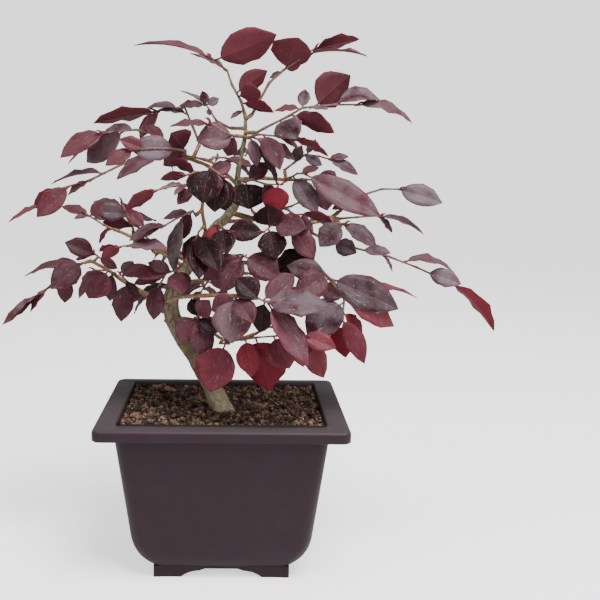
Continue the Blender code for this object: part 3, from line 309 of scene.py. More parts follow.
# %% The sprays that the front shows
# Leafy sprays. "twig" starts where the spray meets its spur. A leaf is seen from its base to its tip:
# (base across, base up, tip across, tip up, seen width), then where they matter the depth of its tip
# beyond its base and its arch. A seen width under zero shows the blade's underside.
SPRAYS = {
    "spray_top_left": dict(
        branch="trunk",
        twig=[(14, 0, 293), (12, -2, 300), (6, -6, 311), (3, -8, 320), (-7, -12, 328)],
        leaves=[(-7, 328, -57, 336, 3, 8, 0.08), (3, 321, -21, 331, 3), (-2, 330, 35, 343, -21, -7),
                (10, 306, 29, 320, -13, 5), (12, 304, 25, 306, -12, -12), (14, 300, 33, 293, -7),
                (15, 292, 5, 289, 3)],
    ),
    "spray_top_right": dict(
        branch="trunk",
        twig=[(18, 4, 291), (30, 8, 312), (39, 9, 320), (49, 8, 327), (59, 8, 334)],
        leaves=[(39, 322, 49, 341, -26, -12), (59, 334, 88, 340, -8), (55, 330, 93, 329, 3, 8, 0.07),
                (40, 320, 52, 327, -8, 8), (38, 320, 30, 315, 3, 5)],
    ),
    "spray_upper_right": dict(
        branch="trunk",
        twig=[(20, -5, 280), (27, -9, 283), (43, -13, 291), (51, -14, 296), (72, -16, 298), (86, -17, 298)],
        leaves=[(60, 299, 82, 317, -22, 6), (52, 296, 53, 308, 8), (72, 300, 101, 301, 9, 4, 0.2),
                (86, 298, 122, 286, 6, -6, 0.11), (56, 297, 68, 295, 3), (44, 291, 72, 280, -11, -8, 0.06),
                (35, 290, 48, 276, 18, -7), (49, 298, 33, 294, 4, 6)],
    ),
    "spray_left_crown": dict(
        branch="trunk",
        twig=[(9, -5, 278), (2, -12, 280), (-7, -15, 286)],
        leaves=[(9, 280, -17, 275, 18, -9), (-7, 286, -34, 284, 4, -4),
                (8, 278, 3, 265, 11, 7)],
    ),
    "spray_left_tuft": dict(
        branch="trunk",
        twig=[(6, 4, 283), (-4, 11, 288), (-11, 15, 299)],
        leaves=[(-11, 298, -13, 307, 6), (-11, 298, -2, 302, 6), (-12, 299, -28, 297, 5, -5),
                (-11, 299, -27, 307, 2, 3), (-9, 296, -8, 291, 4)],
    ),
    "spray_left_peak": dict(
        branch="left_upper",
        twig=[(-15, 6, 272), (-19, 10, 284), (-24, 13, 296), (-42, 15, 294)],
        leaves=[(-27, 297, -50, 295, 4, 5, 0.09), (-24, 292, -41, 295, 4), (-42, 294, -83, 286, -9, 4, 0.01),
                (-40, 294, -53, 276, 8, -8)],
    ),
    "spray_left_outer": dict(
        branch="left_upper",
        twig=[(-34, 4, 272), (-40, 6, 278), (-55, 8, 282), (-66, 8, 281), (-76, 8, 280)],
        leaves=[(-36, 276, -50, 285, 7, 6), (-56, 282, -75, 282, 6, 4), (-76, 280, -104, 264, 12, -5),
                (-63, 281, -87, 261, 17, -8), (-74, 279, -99, 260, 3, 5)],
    ),
    "spray_left_inner": dict(
        branch="left_upper",
        twig=[(-24, -8, 268), (-34, -15, 270), (-46, -19, 270), (-58, -22, 269)],
        leaves=[(-29, 270, -60, 270, 16, -9), (-58, 269, -75, 259, 9, 4), (-18, 268, -33, 280, -20, 5),
                (-24, 266, -38, 259, 10, 7), (-50, 270, -66, 276, 9, 9)],
    ),
    "spray_left_far": dict(
        branch="left_upper",
        twig=[(-36, 3, 267), (-47, 6, 266), (-62, 8, 261), (-84, 8, 250), (-104, 6, 244), (-118, 4, 233)],
        leaves=[(-38, 264, -68, 250, 9, -6), (-75, 256, -110, 247, 3, 8, 0.07), (-84, 250, -99, 240, 4, -5),
                (-104, 244, -121, 233, -11, 5), (-98, 245, -119, 226, 14, -6),
                (-118, 232, -137, 223, 3, 5, 0.01)],
    ),
    "spray_left_shade": dict(
        branch="left_upper",
        twig=[(-8, -10, 254), (-16, -15, 255), (-23, -18, 253)],
        leaves=[(-17, 256, -34, 262, -7, 5), (-22, 254, -40, 250, -6), (-9, 255, 6, 260, 10, 6)],
    ),
    "spray_left_drooping": dict(
        branch="centre_front",
        twig=[(-14, -33, 240), (-21, -36, 247), (-32, -38, 246), (-43, -40, 243)],
        leaves=[(-24, 247, -42, 243, 3, 6), (-43, 243, -62, 231, -8, -3), (-22, 247, -31, 240, 3, -6),
                (-18, 245, -29, 234, 8, -7)],
    ),
    "spray_left_middle_tip": dict(
        branch="left_middle",
        twig=[(-69, -30, 218), (-76, -32, 221), (-87, -34, 228)],
        leaves=[(-84, 228, -103, 233, 6, 4), (-87, 228, -95, 225, 3, -6), (-84, 227, -75, 236, 8, -5),
                (-72, 220, -79, 209, -3, -5)],
    ),
    "spray_left_middle_dark": dict(
        branch="left_middle",
        twig=[(-57, -20, 217), (-60, -19, 226), (-64, -19, 234)],
        leaves=[(-64, 235, -83, 236, 5, 4), (-62, 228, -82, 230, 12, -7), (-62, 231, -50, 220, 9, -9),
                (-56, 221, -77, 223, -8, -6)],
    ),
    "spray_left_middle_inner": dict(
        branch="centre_front",
        twig=[(-16, -29, 228), (-19, -33, 230), (-28, -36, 226), (-38, -38, 220)],
        leaves=[(-21, 230, -38, 225, 5, 6), (-20, 230, -27, 211, 9, 4), (-36, 221, -52, 217, 3),
                (-38, 220, -60, 211, 9, -5), (-25, 226, -31, 190, 9, -7)],
    ),
    "spray_left_middle_low": dict(
        branch="left_middle",
        twig=[(-55, -30, 210), (-60, -34, 208), (-66, -37, 207)],
        leaves=[(-62, 209, -35, 206, 7, -8), (-65, 208, -78, 199, -7), (-66, 207, -79, 204, -4, 7)],
    ),
    "spray_low_left_tip": dict(
        branch="low_left",
        twig=[(-88, 8, 197), (-97, 6, 191), (-108, 3, 184), (-119, 0, 175)],
        leaves=[(-91, 198, -127, 188, 5, 9, 0.07), (-90, 197, -110, 180, 17, -7),
                (-99, 189, -101, 171, 11, 4), (-110, 183, -123, 165, 4, -6),
                (-119, 175, -141, 157, 6, -6, 0.01), (-116, 178, -134, 163, 3, 8)],
    ),
    "spray_low_left_upper": dict(
        branch="low_left",
        twig=[(-80, 14, 200), (-82, 18, 203)],
        leaves=[(-82, 202, -101, 210, 13, -4), (-80, 200, -67, 193, 7, 5), (-82, 203, -94, 199, 5, 9)],
    ),
    "spray_low_left_front": dict(
        branch="low_left",
        twig=[(-69, -2, 190), (-74, -8, 192), (-81, -12, 192)],
        leaves=[(-73, 192, -86, 174, 20, -6), (-81, 192, -92, 174, 6, 4), (-71, 190, -72, 172, 9, 5)],
    ),
    "spray_low_left_hanging": dict(
        branch="low_left",
        twig=[(-58, -3, 183), (-60, -10, 184), (-65, -16, 189)],
        leaves=[(-61, 184, -65, 159, 14, -2), (-64, 189, -46, 194, 8, -3), (-65, 189, -57, 198, 9, 4),
                (-61, 186, -54, 173, 8, 7)],
    ),
    "spray_low_left_inner": dict(
        branch="low_left",
        twig=[(-43, -8, 177), (-40, -16, 183), (-36, -24, 190), (-30, -29, 192)],
        leaves=[(-40, 183, -44, 160, 12, -3), (-34, 191, -58, 188, 9, -9), (-30, 192, -25, 177, 15, -9),
                (-37, 188, -57, 183, -7, 2), (-33, 192, -48, 197, 8, -3)],
    ),
    "spray_centre_shade": dict(
        branch="centre_front",
        twig=[(-13, -21, 219), (-15, -25, 217), (-17, -28, 212)],
        leaves=[(-14, 216, -20, 195, 14, -5), (-16, 213, -15, 186, 15, 4), (-13, 214, -2, 191, 16, -6),
                (-16, 214, -25, 199, 9, 6)],
    ),
    "spray_centre_dark": dict(
        branch="centre_front",
        twig=[(-10, -38, 250), (-8, -43, 258), (0, -46, 252)],
        leaves=[(-8, 259, -13, 235, 22, -8), (-2, 254, -5, 229, 17, -2), (0, 252, 2, 230, 14, 6)],
    ),
    "spray_centre_right": dict(
        branch="trunk",
        twig=[(14, -6, 249), (19, -15, 250), (28, -21, 247), (37, -24, 247)],
        leaves=[(15, 250, 17, 231, 28, -6), (36, 246, 33, 228, -17, 3), (37, 249, 22, 271, 5, -4),
                (26, 248, 32, 238, 9, 6), (16, 250, 29, 261, 11, 6)],
    ),
    "spray_centre_low": dict(
        branch="trunk",
        twig=[(-5, -8, 221), (-2, -16, 221), (3, -21, 217)],
        leaves=[(-4, 225, -5, 208, -13, -7), (3, 219, 26, 216, 14, -3), (0, 219, 3, 202, 15, 5)],
    ),
    "spray_crown_right": dict(
        branch="trunk",
        twig=[(17, -7, 277), (23, -15, 279), (34, -19, 278), (46, -22, 276)],
        leaves=[(19, 278, 47, 262, 7, -9), (18, 278, 22, 258, 9, -3), (26, 278, 37, 256, 13, 1),
                (35, 274, 49, 270, 4, 5), (46, 275, 68, 265, -5)],
    ),
    "spray_right_shoulder": dict(
        branch="right",
        twig=[(33, -18, 221), (32, -24, 221), (27, -29, 217)],
        leaves=[(30, 219, 29, 234, -20, 2), (30, 218, 34, 199, 18, -4), (31, 224, 54, 219, 18, -7)],
    ),
    "spray_right_shade": dict(
        branch="right",
        twig=[(44, -19, 220), (47, -24, 219)],
        leaves=[(46, 219, 58, 221, 13, -8), (44, 219, 59, 199, 14, -4)],
    ),
    "spray_centre_fan": dict(
        branch="low_right",
        twig=[(8, -6, 201), (12, -20, 202), (14, -30, 201)],
        leaves=[(13, 201, -13, 186, 15, -4), (13, 200, -1, 177, 15, -9), (15, 200, 37, 187, 18, -6),
                (13, 201, 2, 190, 11, 8)],
    ),
    "spray_grey_cluster": dict(
        branch="right_upper",
        twig=[(40, 16, 255), (46, 18, 261), (53, 20, 266), (62, 22, 265), (69, 23, 263)],
        leaves=[(51, 267, 64, 259, 7, -4), (45, 263, 51, 272, 8, -5), (54, 267, 60, 276, 5, 5),
                (68, 264, 81, 265, 5, 3), (69, 262, 87, 253, 7, -3)],
    ),
    "spray_right_centre": dict(
        branch="right_upper",
        twig=[(43, 6, 251), (48, -2, 254), (53, -6, 254)],
        leaves=[(45, 253, 61, 228, 14, -12), (53, 254, 102, 226, 18, -10), (50, 254, 62, 258, 5, 7)],
    ),
    "spray_right_mauve": dict(
        branch="right_upper",
        twig=[(54, 12, 250), (58, 10, 250), (64, 10, 248)],
        leaves=[(57, 251, 75, 243, 21, 12), (63, 248, 67, 230, 14, 5)],
    ),
    "spray_right_far": dict(
        branch="right",
        twig=[(74, -8, 229), (89, -2, 240), (102, 1, 244), (113, 2, 244)],
        leaves=[(112, 244, 141, 235, 14, -5), (81, 235, 70, 231, -5)],
    ),
    "spray_right_behind": dict(
        branch="right",
        twig=[(74, -6, 225), (86, 2, 226), (101, 6, 227)],
        leaves=[(101, 228, 129, 215, 4, -2, 0.08), (101, 226, 109, 216, 4, 4)],
    ),
    "spray_right_dark": dict(
        branch="right",
        twig=[(70, -18, 222), (74, -22, 222), (78, -24, 222)],
        leaves=[(77, 222, 62, 207, 15, -5), (76, 222, 99, 207, 10, -6, 0.08), (72, 222, 52, 229, -6, 6)],
    ),
    "spray_right_low_tip": dict(
        branch="right",
        twig=[(57, -7, 217), (65, -4, 212), (78, 0, 208), (106, 4, 201), (124, 4, 194), (146, 2, 184)],
        leaves=[(103, 201, 109, 191, 2, 3), (116, 198, 149, 190, 5, 6, 0.13), (132, 192, 153, 183, 12, -6),
                (146, 184, 174, 153, -8, 3, 0.09), (90, 205, 108, 203, 7, -7), (72, 211, 86, 203, 12, -6)],
    ),
    "spray_low_right_big": dict(
        branch="low_right",
        twig=[(57, -22, 200), (62, -28, 194), (70, -33, 186)],
        leaves=[(71, 185, 113, 167, 22, -9), (67, 188, 41, 195, 14, 5), (69, 187, 46, 178, 19, -7),
                (58, 200, 33, 193, 18, 4)],
    ),
    "spray_low_right_hanging": dict(
        branch="low_right",
        twig=[(56, -13, 199), (68, -12, 187), (78, -14, 174), (77, -17, 163), (72, -19, 156)],
        leaves=[(77, 172, 54, 150, 24, -9), (77, 161, 91, 132, 13, -5), (73, 157, 79, 136, -15, 5),
                (78, 174, 110, 156, 16, 6), (92, 182, 125, 174, 5, 9, 0.14), (76, 165, 90, 149, 9, 8),
                (72, 157, 55, 150, 13, 8), (77, 174, 61, 182, 12, 6)],
    ),
    "spray_low_right_pink": dict(
        branch="low_twiggy",
        twig=[(20, -36, 151), (30, -36, 156), (42, -36, 154), (52, -36, 150)],
        leaves=[(47, 152, 52, 130, 14, -4), (52, 150, 65, 123, 15, 3), (40, 154, 42, 136, 14, 7),
                (52, 150, 73, 142, 12, 5)],
    ),
    "spray_front_grey": dict(
        branch="low_front",
        twig=[(22, -54, 174), (27, -57, 172), (30, -59, 171)],
        leaves=[(26, 173, 69, 168, 16, -7), (29, 171, 55, 131, 15, -7), (27, 172, 24, 152, 13, 6),
                (24, 174, 9, 187, 15, 8), (26, 173, 46, 190, 14, 9)],
    ),
    "spray_front_mauve": dict(
        branch="low_front",
        twig=[(6, -46, 175), (9, -52, 175)],
        leaves=[(9, 175, 6, 145, 24, -7), (8, 175, -7, 166, 12, 7), (9, 175, 20, 158, 14, 8)],
    ),
    "spray_low_wine": dict(
        branch="low_twiggy",
        twig=[(-1, -36, 146), (3, -40, 145)],
        leaves=[(2, 146, -8, 114, 25, -7), (1, 146, 9, 155, 6, -8)],
    ),
    "spray_low_red": dict(
        branch="low_twiggy",
        twig=[(14, -41, 148), (22, -44, 149), (34, -46, 150)],
        leaves=[(21, 149, 30, 115, -28, 5), (36, 150, 43, 129, 20, -3), (15, 148, 19, 124, 16, 6)],
    ),
    "spray_low_trunk": dict(
        branch="low_twiggy",
        twig=[(-17, -27, 161), (-16, -31, 162), (-15, -34, 162)],
        leaves=[(-17, 163, -28, 146, 14, -2), (-15, 161, -11, 135, 15, -5), (-15, 163, -8, 173, 12, -5),
                (-16, 163, -20, 174, 10, 4), (-15, 162, -3, 152, 11, 6)],
    ),
}
print("front sprays:", len(SPRAYS), "leaves:", sum(len(spray["leaves"]) for spray in SPRAYS.values()))

# %% The sprays at the back
# Sprays at the back, behind the others. Their leaves alternate along the twig by a rule. Each row has
# the branch that the spray grows from, its twig, its number of leaves and its longest leaf.
HIDDEN_SPRAYS = {
    "spray_back_low_left": ("back_low", [(-28, 26, 186), (-40, 40, 180), (-50, 54, 174)], 5, 30),
    "spray_back_low_middle": ("back_low", [(-6, 46, 188), (-10, 60, 184), (-14, 74, 178)], 5, 32),
    "spray_back_low_right": ("back_low", [(16, 55, 190), (30, 64, 186), (44, 70, 180)], 5, 31),
    "spray_back_low_inner": ("back_low", [(-12, 34, 182), (4, 26, 174), (20, 22, 168)], 5, 28),
    "spray_back_left_tip": ("back_left", [(-52, 46, 216), (-56, 56, 224), (-62, 66, 229)], 4, 30),
    "spray_back_left_side": ("back_left", [(-42, 24, 207), (-50, 26, 214), (-56, 28, 224)], 4, 26),
    "spray_back_left_inner": ("back_left", [(-44, 36, 204), (-34, 48, 204), (-26, 62, 202)], 5, 28),
    "spray_back_right_tip": ("back_right", [(40, 47, 227), (54, 58, 228), (66, 68, 226)], 5, 30),
    "spray_back_right_side": ("back_right", [(26, 28, 228), (44, 26, 233), (58, 26, 240)], 3, 27),
    "spray_back_right_inner": ("back_right", [(20, 36, 229), (16, 50, 238), (12, 62, 245)], 5, 29),
    "spray_back_upper_left": ("back_upper", [(-12, 36, 263), (-26, 44, 266), (-40, 54, 266)], 5, 27),
    "spray_back_upper_middle": ("back_upper", [(-6, 40, 264), (2, 52, 264), (10, 64, 260)], 4, 27),
    "spray_back_crown": ("trunk", [(14, 6, 268), (20, 20, 270), (28, 34, 270)], 5, 25),
}
print("back sprays:", len(HIDDEN_SPRAYS))

# %% [markdown]
# ## Limbs and leaves as simple shapes
#
# Before anything fine is made, each limb and leaf is tried as a simple shape. A tapering limb is a stack of
# rings, and a leaf is a bent grid. The same shapes make the solids, so both models get the same layout.

# %% Simple limbs
def frames_along(points, radii, first_direction=None):
    """One matrix for each point of a route: it takes a unit disc to the cross section there, untwisted."""
    steps = [(b - a).normalized() for a, b in zip(points, points[1:])]
    directions = [first_direction or steps[0]]
    directions += [(a + b).normalized() for a, b in zip(steps, steps[1:])]
    directions.append(steps[-1])
    turn = UP.rotation_difference(directions[0]).to_matrix()
    frames = []
    for index, (point, radius) in enumerate(zip(points, radii)):
        if index:
            turn = directions[index - 1].rotation_difference(directions[index]).to_matrix() @ turn
        size = Matrix.Diagonal((radius, radius, radius, 1))
        frames.append(Matrix.Translation(point) @ turn.to_4x4() @ size)
    return frames


def stacked_loops(loops):
    """A closed body through a stack of loops of equal length, capped at both ends."""
    bm = bmesh.new()
    rings = [[bm.verts.new(point) for point in loop] for loop in loops]
    for below, above in zip(rings, rings[1:]):
        for index in range(len(below)):
            bm.faces.new((below[index - 1], below[index], above[index], above[index - 1]))
    bm.faces.new(rings[0])
    bm.faces.new(rings[-1])
    bmesh.ops.recalc_face_normals(bm, faces=bm.faces[:])
    return bm


def limb_mesh(points, radii, sides, first_direction=None):
    """A closed tapering limb through its cross sections."""
    turns = [index * 2 * math.pi / sides for index in range(sides)]
    circle = [Vector((math.cos(turn), math.sin(turn), 0)) for turn in turns]
    frames = frames_along(points, radii, first_direction)
    return stacked_loops([[frame @ point for point in circle] for frame in frames])


def taper(start, end, count):
    """Radii in metres from a limb's start to its end."""
    return [(start + (end - start) * index / (count - 1)) * MM for index in range(count)]


def nearest_on_route(route, point, from_eye):
    """The route's nearest point to a point, judged as seen from EYE where from_eye is set."""
    best = None
    for a, b in zip(route, route[1:]):
        for step in range(11):
            here = a.lerp(b, step / 10)
            if from_eye:
                away = ((here - EYE).normalized() - (point - EYE).normalized()).length
            else:
                away = (here - point).length
            if best is None or away < best[0]:
                best = (away, here)
    return best[1]


def rooted(route, base):
    """A leaf's base, kept short of a twig's end so that the blade grows out of the wood."""
    end, before = route[-1], route[-2]
    back = (end - base).length
    if back < LEAF_ROOT:
        return end + (before - end).normalized() * LEAF_ROOT
    return base


print("a ring has", TWIG_SIDES, "sides on a simple twig")

# %% Simple leaves
def leaf_outline(share):
    """Half width of a blade at a share of its length, as a share of its greatest half width."""
    return math.sin(math.pi * share ** 0.92) ** 0.68


class Leaf:
    """One leaf: a blade from base to tip, its upper face towards normal. Arch is a share of its length."""

    def __init__(self, base, tip, width, normal, arch):
        self.base = base
        self.tip = tip
        self.width = width
        self.normal = normal
        self.arch = arch

    def rows(self):
        return LARGE_ROWS if (self.tip - self.base).length > LARGE_LEAF else SMALL_ROWS

    def point(self, share, side):
        """A point of the blade's middle sheet: side runs from -1 at one edge to 1 at the other."""
        along = self.tip - self.base
        length = along.length
        across = along.normalized().cross(self.normal)
        half = self.width / 2 * leaf_outline(share)
        if 0 < share < PETIOLE_SHARE:
            half = PETIOLE_HALF_WIDTH
        lift = self.arch * length * 4 * share * (1 - share) + LEAF_FOLD * half * abs(side)
        return self.base + along * share + self.normal * lift + across * half * side

    def mesh(self, thickness):
        """The blade as a closed solid: a grid bent to the leaf, split alike on both faces, and thickened."""
        rows = self.rows()
        bm = bmesh.new()
        bmesh.ops.create_grid(bm, x_segments=2, y_segments=len(rows) - 1, size=1)
        for vert in bm.verts:
            row = round((vert.co.y + 1) / 2 * (len(rows) - 1))
            vert.co = self.point(rows[row], round(vert.co.x)) + self.normal * (thickness / 2)
        bmesh.ops.remove_doubles(bm, verts=bm.verts[:], dist=1e-7)
        bmesh.ops.triangulate(bm, faces=bm.faces[:], quad_method="FIXED")
        under = bmesh.ops.extrude_face_region(bm, geom=bm.faces[:])["geom"]
        sunk = [item for item in under if isinstance(item, bmesh.types.BMVert)]
        bmesh.ops.translate(bm, vec=-self.normal * thickness, verts=sunk)
        root = [vert for vert in bm.verts if (vert.co - self.base).length < 0.6 * thickness]
        bmesh.ops.pointmerge(bm, verts=root, merge_co=self.base)
        bmesh.ops.recalc_face_normals(bm, faces=bm.faces[:])
        return bm


def upper_normal(base, tip, shown):
    """The normal of a blade that shows the eye this share of its width, turned as far up as it can be."""
    along = (tip - base).normalized()
    to_eye = (EYE - (base + tip) / 2).normalized()
    facing = (to_eye - along * to_eye.dot(along)).normalized()
    beside = along.cross(facing)
    if beside.z < 0:
        beside = -beside
    return (facing * shown + beside * math.sqrt(1 - shown * shown)).normalized()


print("half width at a third of a blade:", round(leaf_outline(1 / 3), 2))

# %% [markdown]
# ## Room for every leaf
#
# On the real plant no leaf passes through another, because each one grows into free air. Here each twig and
# leaf is tried in place with a little clearance. If it touches a neighbour, its tip moves nearer or
# farther, or the blade rolls a little, until it is free. A search tree of faces makes each test quick.

# %% Tests for free room
def shape_tree(bm):
    """A search tree of a mesh's faces, with the corners of its box."""
    tree = BVHTree.FromBMesh(bm)
    corners = [vert.co for vert in bm.verts]
    low = Vector([min(corner[axis] for corner in corners) for axis in range(3)])
    high = Vector([max(corner[axis] for corner in corners) for axis in range(3)])
    bm.free()
    return tree, low, high


def crosses(shape, others):
    """Whether a shape's surface meets the surface of any of the others."""
    tree, low, high = shape
    for other, other_low, other_high in others:
        apart = any(low[axis] > other_high[axis] or high[axis] < other_low[axis] for axis in range(3))
        if not apart and tree.overlap(other):
            return True
    return False


def bends(largest, step):
    """Zero, then steps to either side, growing to the largest."""
    values = [0]
    for index in range(1, int(largest / step) + 1):
        values += [index * step, -index * step]
    return values


def bend_twig_clear(twig, direction, radii, others):
    """Moves a twig in depth, more towards its end, until it crosses no other piece."""
    for shift in bends(24, 2):
        route = [twig[0], twig[0] + direction * 1.5 * MM]
        for index, point in enumerate(twig[1:], 1):
            away = (point - EYE).normalized()
            route.append(point + away * shift * MM * index / (len(twig) - 1))
        wide = [radius + CLEARANCE for radius in radii]
        shape = shape_tree(limb_mesh(route[1:], wide[1:], TWIG_SIDES))
        if not crosses(shape, others):
            return route
    raise ValueError("a twig has no way clear")


def bend_leaf_clear(base, tip, width, shown, arch, others, own):
    """Turns a leaf a little about its base until it crosses nothing, its tip moving in depth first."""
    fallback = None
    for shorten in (1, 0.9, 0.78, 0.64, 0.5):
        for roll in bends(0.45, 0.15):
            for shift in bends(28, 2):
                away = (tip - EYE).normalized()
                end = base + (tip + away * shift * MM - base) * shorten
                share = max(-1, min(1, shown + roll))
                leaf = Leaf(base, end, width * shorten, upper_normal(base, end, share), arch)
                shape = shape_tree(leaf.mesh(LEAF_THICKNESS + 2 * CLEARANCE))
                if crosses(shape, others):
                    continue
                if not crosses(shape, own):
                    return leaf
                fallback = fallback or leaf
        if fallback:
            return fallback
    raise ValueError("a leaf has no way clear")


print("bends that are tried:", bends(4, 2))

# %% Lay the whole plant out
def seen_leaf(numbers, route, draw, side):
    """Base, tip, width, shown share and arch of a leaf that the branch plan draws."""
    base_across, base_up, tip_across, tip_up, seen = numbers[:5]
    base = rooted(route, nearest_on_route(route[1:], plan((base_across, 0, base_up)), True))
    depth = base.y / MM
    seen_length = math.hypot(tip_across - base_across, tip_up - base_up)
    beyond = numbers[5] if len(numbers) > 5 else side * draw.uniform(0.1, 0.3) * seen_length
    tip = plan((tip_across, depth + beyond, tip_up))
    length = (tip - base).length
    width = max(abs(seen) * MM * 1.04, LEAF_WIDTH_SHARE * draw.uniform(0.9, 1.06) * min(length, LARGE_LEAF))
    arch = numbers[6] if len(numbers) > 6 else LEAF_ARCH
    return base, tip, width, seen * MM / width, arch


def ruled_leaves(route, count, longest, draw):
    """Bases, tips, widths, shown shares and arches of leaves that alternate along a twig and end it."""
    leaves = []
    spans = list(zip(route[1:], route[2:]))
    for index in range(count):
        along = (index + 1) / count
        place = min(along * len(spans), len(spans) - 1e-6)
        start, end = spans[int(place)]
        base = rooted(route, start.lerp(end, place - int(place)))
        forward = (end - start).normalized()
        side = forward.cross(UP).normalized() * (1 if index % 2 else -1)
        swing = 0 if index == count - 1 else math.radians(draw.uniform(48, 66))
        heading = forward * math.cos(swing) + side * math.sin(swing) - UP * draw.uniform(0.15, 0.5)
        length = longest * MM * draw.uniform(0.72, 1) * (1 - 0.2 * abs(2 * along - 1))
        tip = base + heading.normalized() * length
        width = LEAF_WIDTH_SHARE * length * draw.uniform(0.94, 1.1)
        leaves.append((base, tip, width, draw.uniform(0.15, 0.6), LEAF_ARCH * 1.5))
    return leaves


def grown_layout():
    """Every limb of the trunk and every spray's twig and leaves, bent clear of each other."""
    draw = random.Random(SEED)
    limbs = [("trunk", [plan(point) for point in TRUNK], [point[3] * MM for point in TRUNK])]
    for name, (route, start, end) in BRANCHES.items():
        limbs.append((name, [plan(point) for point in route], taper(start, end, len(route))))
    routes = {name: route for name, route, radii in limbs}

    starts = {}
    for name, spray in list(SPRAYS.items()) + list(HIDDEN_SPRAYS.items()):
        hidden = name in HIDDEN_SPRAYS
        branch, twig = (spray[0], spray[1]) if hidden else (spray["branch"], spray["twig"])
        twig = [plan(point) for point in twig]
        root = nearest_on_route(routes[branch], twig[0], False)
        direction = (twig[0] - root).normalized()
        length = sum((b - a).length for a, b in zip(twig, twig[1:]))
        thick = 0.75 + min(0.4, length / MM / 120)
        limbs.append(("spur_" + name, [root, twig[0] - direction * GAP], [(thick + 0.2) * MM] * 2))
        starts[name] = (twig, direction, thick)

    placed = []
    for name, route, radii in limbs:
        placed.append(("trunk", shape_tree(limb_mesh(route, radii, 8))))
    sprays = {}
    for name, (twig, direction, thick) in starts.items():
        radii = taper(thick, 0.6, len(twig) + 1)
        others = [shape for owner, shape in placed]
        route = bend_twig_clear(twig, direction, radii, others)
        placed.append((name, shape_tree(limb_mesh(route, radii, TWIG_SIDES))))
        sprays[name] = dict(route=route, radii=radii, leaves=[])

    for name, spray in sprays.items():
        if name in HIDDEN_SPRAYS:
            wanted = ruled_leaves(spray["route"], HIDDEN_SPRAYS[name][2], HIDDEN_SPRAYS[name][3], draw)
        else:
            wanted = []
            for index, numbers in enumerate(SPRAYS[name]["leaves"]):
                wanted.append(seen_leaf(numbers, spray["route"], draw, 1 if index % 2 else -1))
        own = []
        for base, tip, width, shown, arch in wanted:
            others = [shape for owner, shape in placed if owner != name]
            leaf = bend_leaf_clear(base, tip, width, shown, arch, others, own)
            spray["leaves"].append(leaf)
            own.append(shape_tree(leaf.mesh(LEAF_THICKNESS)))
        placed += [(name, shape) for shape in own]
    return limbs, sprays


limbs, sprays = grown_layout()
leaf_count = sum(len(spray["leaves"]) for spray in sprays.values())
print("limbs:", len(limbs), "sprays:", len(sprays), "leaves:", leaf_count)

# %% [markdown]
# ## Finishes
#
# Every finish is made of nodes, so it needs no picture. A leaf's pattern follows its own UV map: u runs
# across the blade and v from its base to its tip. Bark, soil and plastic have no such direction, so their
# patterns are set in space. What several finishes share, such as veins, water marks and fine grain, is a
# node group that is built once.

# %% Helpers for shader nodes
def add_node(tree, kind, inputs=None, **settings):
    """A new node with its settings and with values or links on its inputs."""
    node = tree.nodes.new(kind)
    for name, value in settings.items():
        setattr(node, name, value)
    for key, value in (inputs or {}).items():
        if isinstance(value, bpy.types.NodeSocket):
            tree.links.new(value, node.inputs[key])
        else:
            node.inputs[key].default_value = value
    return node


def math_node(tree, operation, first, second=0.0, third=0.0, clamp=False):
    """The output of a Math node."""
    inputs = {0: first, 1: second, 2: third}
    return add_node(tree, "ShaderNodeMath", inputs, operation=operation, use_clamp=clamp).outputs[0]


def product(tree, first, second):
    """Two masks or values multiplied."""
    return math_node(tree, "MULTIPLY", first, second)


def ramp_between(tree, value, start, end):
    """A smooth rise from 0 to 1 as a value goes from start to end."""
    inputs = {"Value": value, "From Min": start, "From Max": end}
    return add_node(tree, "ShaderNodeMapRange", inputs, interpolation_type="SMOOTHSTEP").outputs["Result"]


def mix_colour(tree, factor, first, second):
    """Two colours mixed by a factor. A colour is a socket or three numbers."""
    inputs = {"Factor": factor}
    for key, colour in ((6, first), (7, second)):
        inputs[key] = colour if isinstance(colour, bpy.types.NodeSocket) else (*colour, 1)
    return add_node(tree, "ShaderNodeMix", inputs, data_type="RGBA").outputs[2]


def noise_value(tree, place, scale, detail=3.0, roughness=0.55):
    """Soft noise from 0 to 1 at a place."""
    inputs = {"Vector": place, "Scale": scale, "Detail": detail, "Roughness": roughness}
    return add_node(tree, "ShaderNodeTexNoise", inputs).outputs["Fac"]


def new_group(name, inputs, outputs):
    """An empty node group with its sockets, and its two end nodes."""
    group = bpy.data.node_groups.new(name, "ShaderNodeTree")
    for kind, label in inputs:
        group.interface.new_socket(label, in_out="INPUT", socket_type=kind)
    for kind, label in outputs:
        group.interface.new_socket(label, in_out="OUTPUT", socket_type=kind)
    return group, group.nodes.new("NodeGroupInput"), group.nodes.new("NodeGroupOutput")


def use_group(tree, group, inputs):
    """A node group placed in a material."""
    return add_node(tree, "ShaderNodeGroup", inputs, node_tree=group)


print("node helpers are ready")

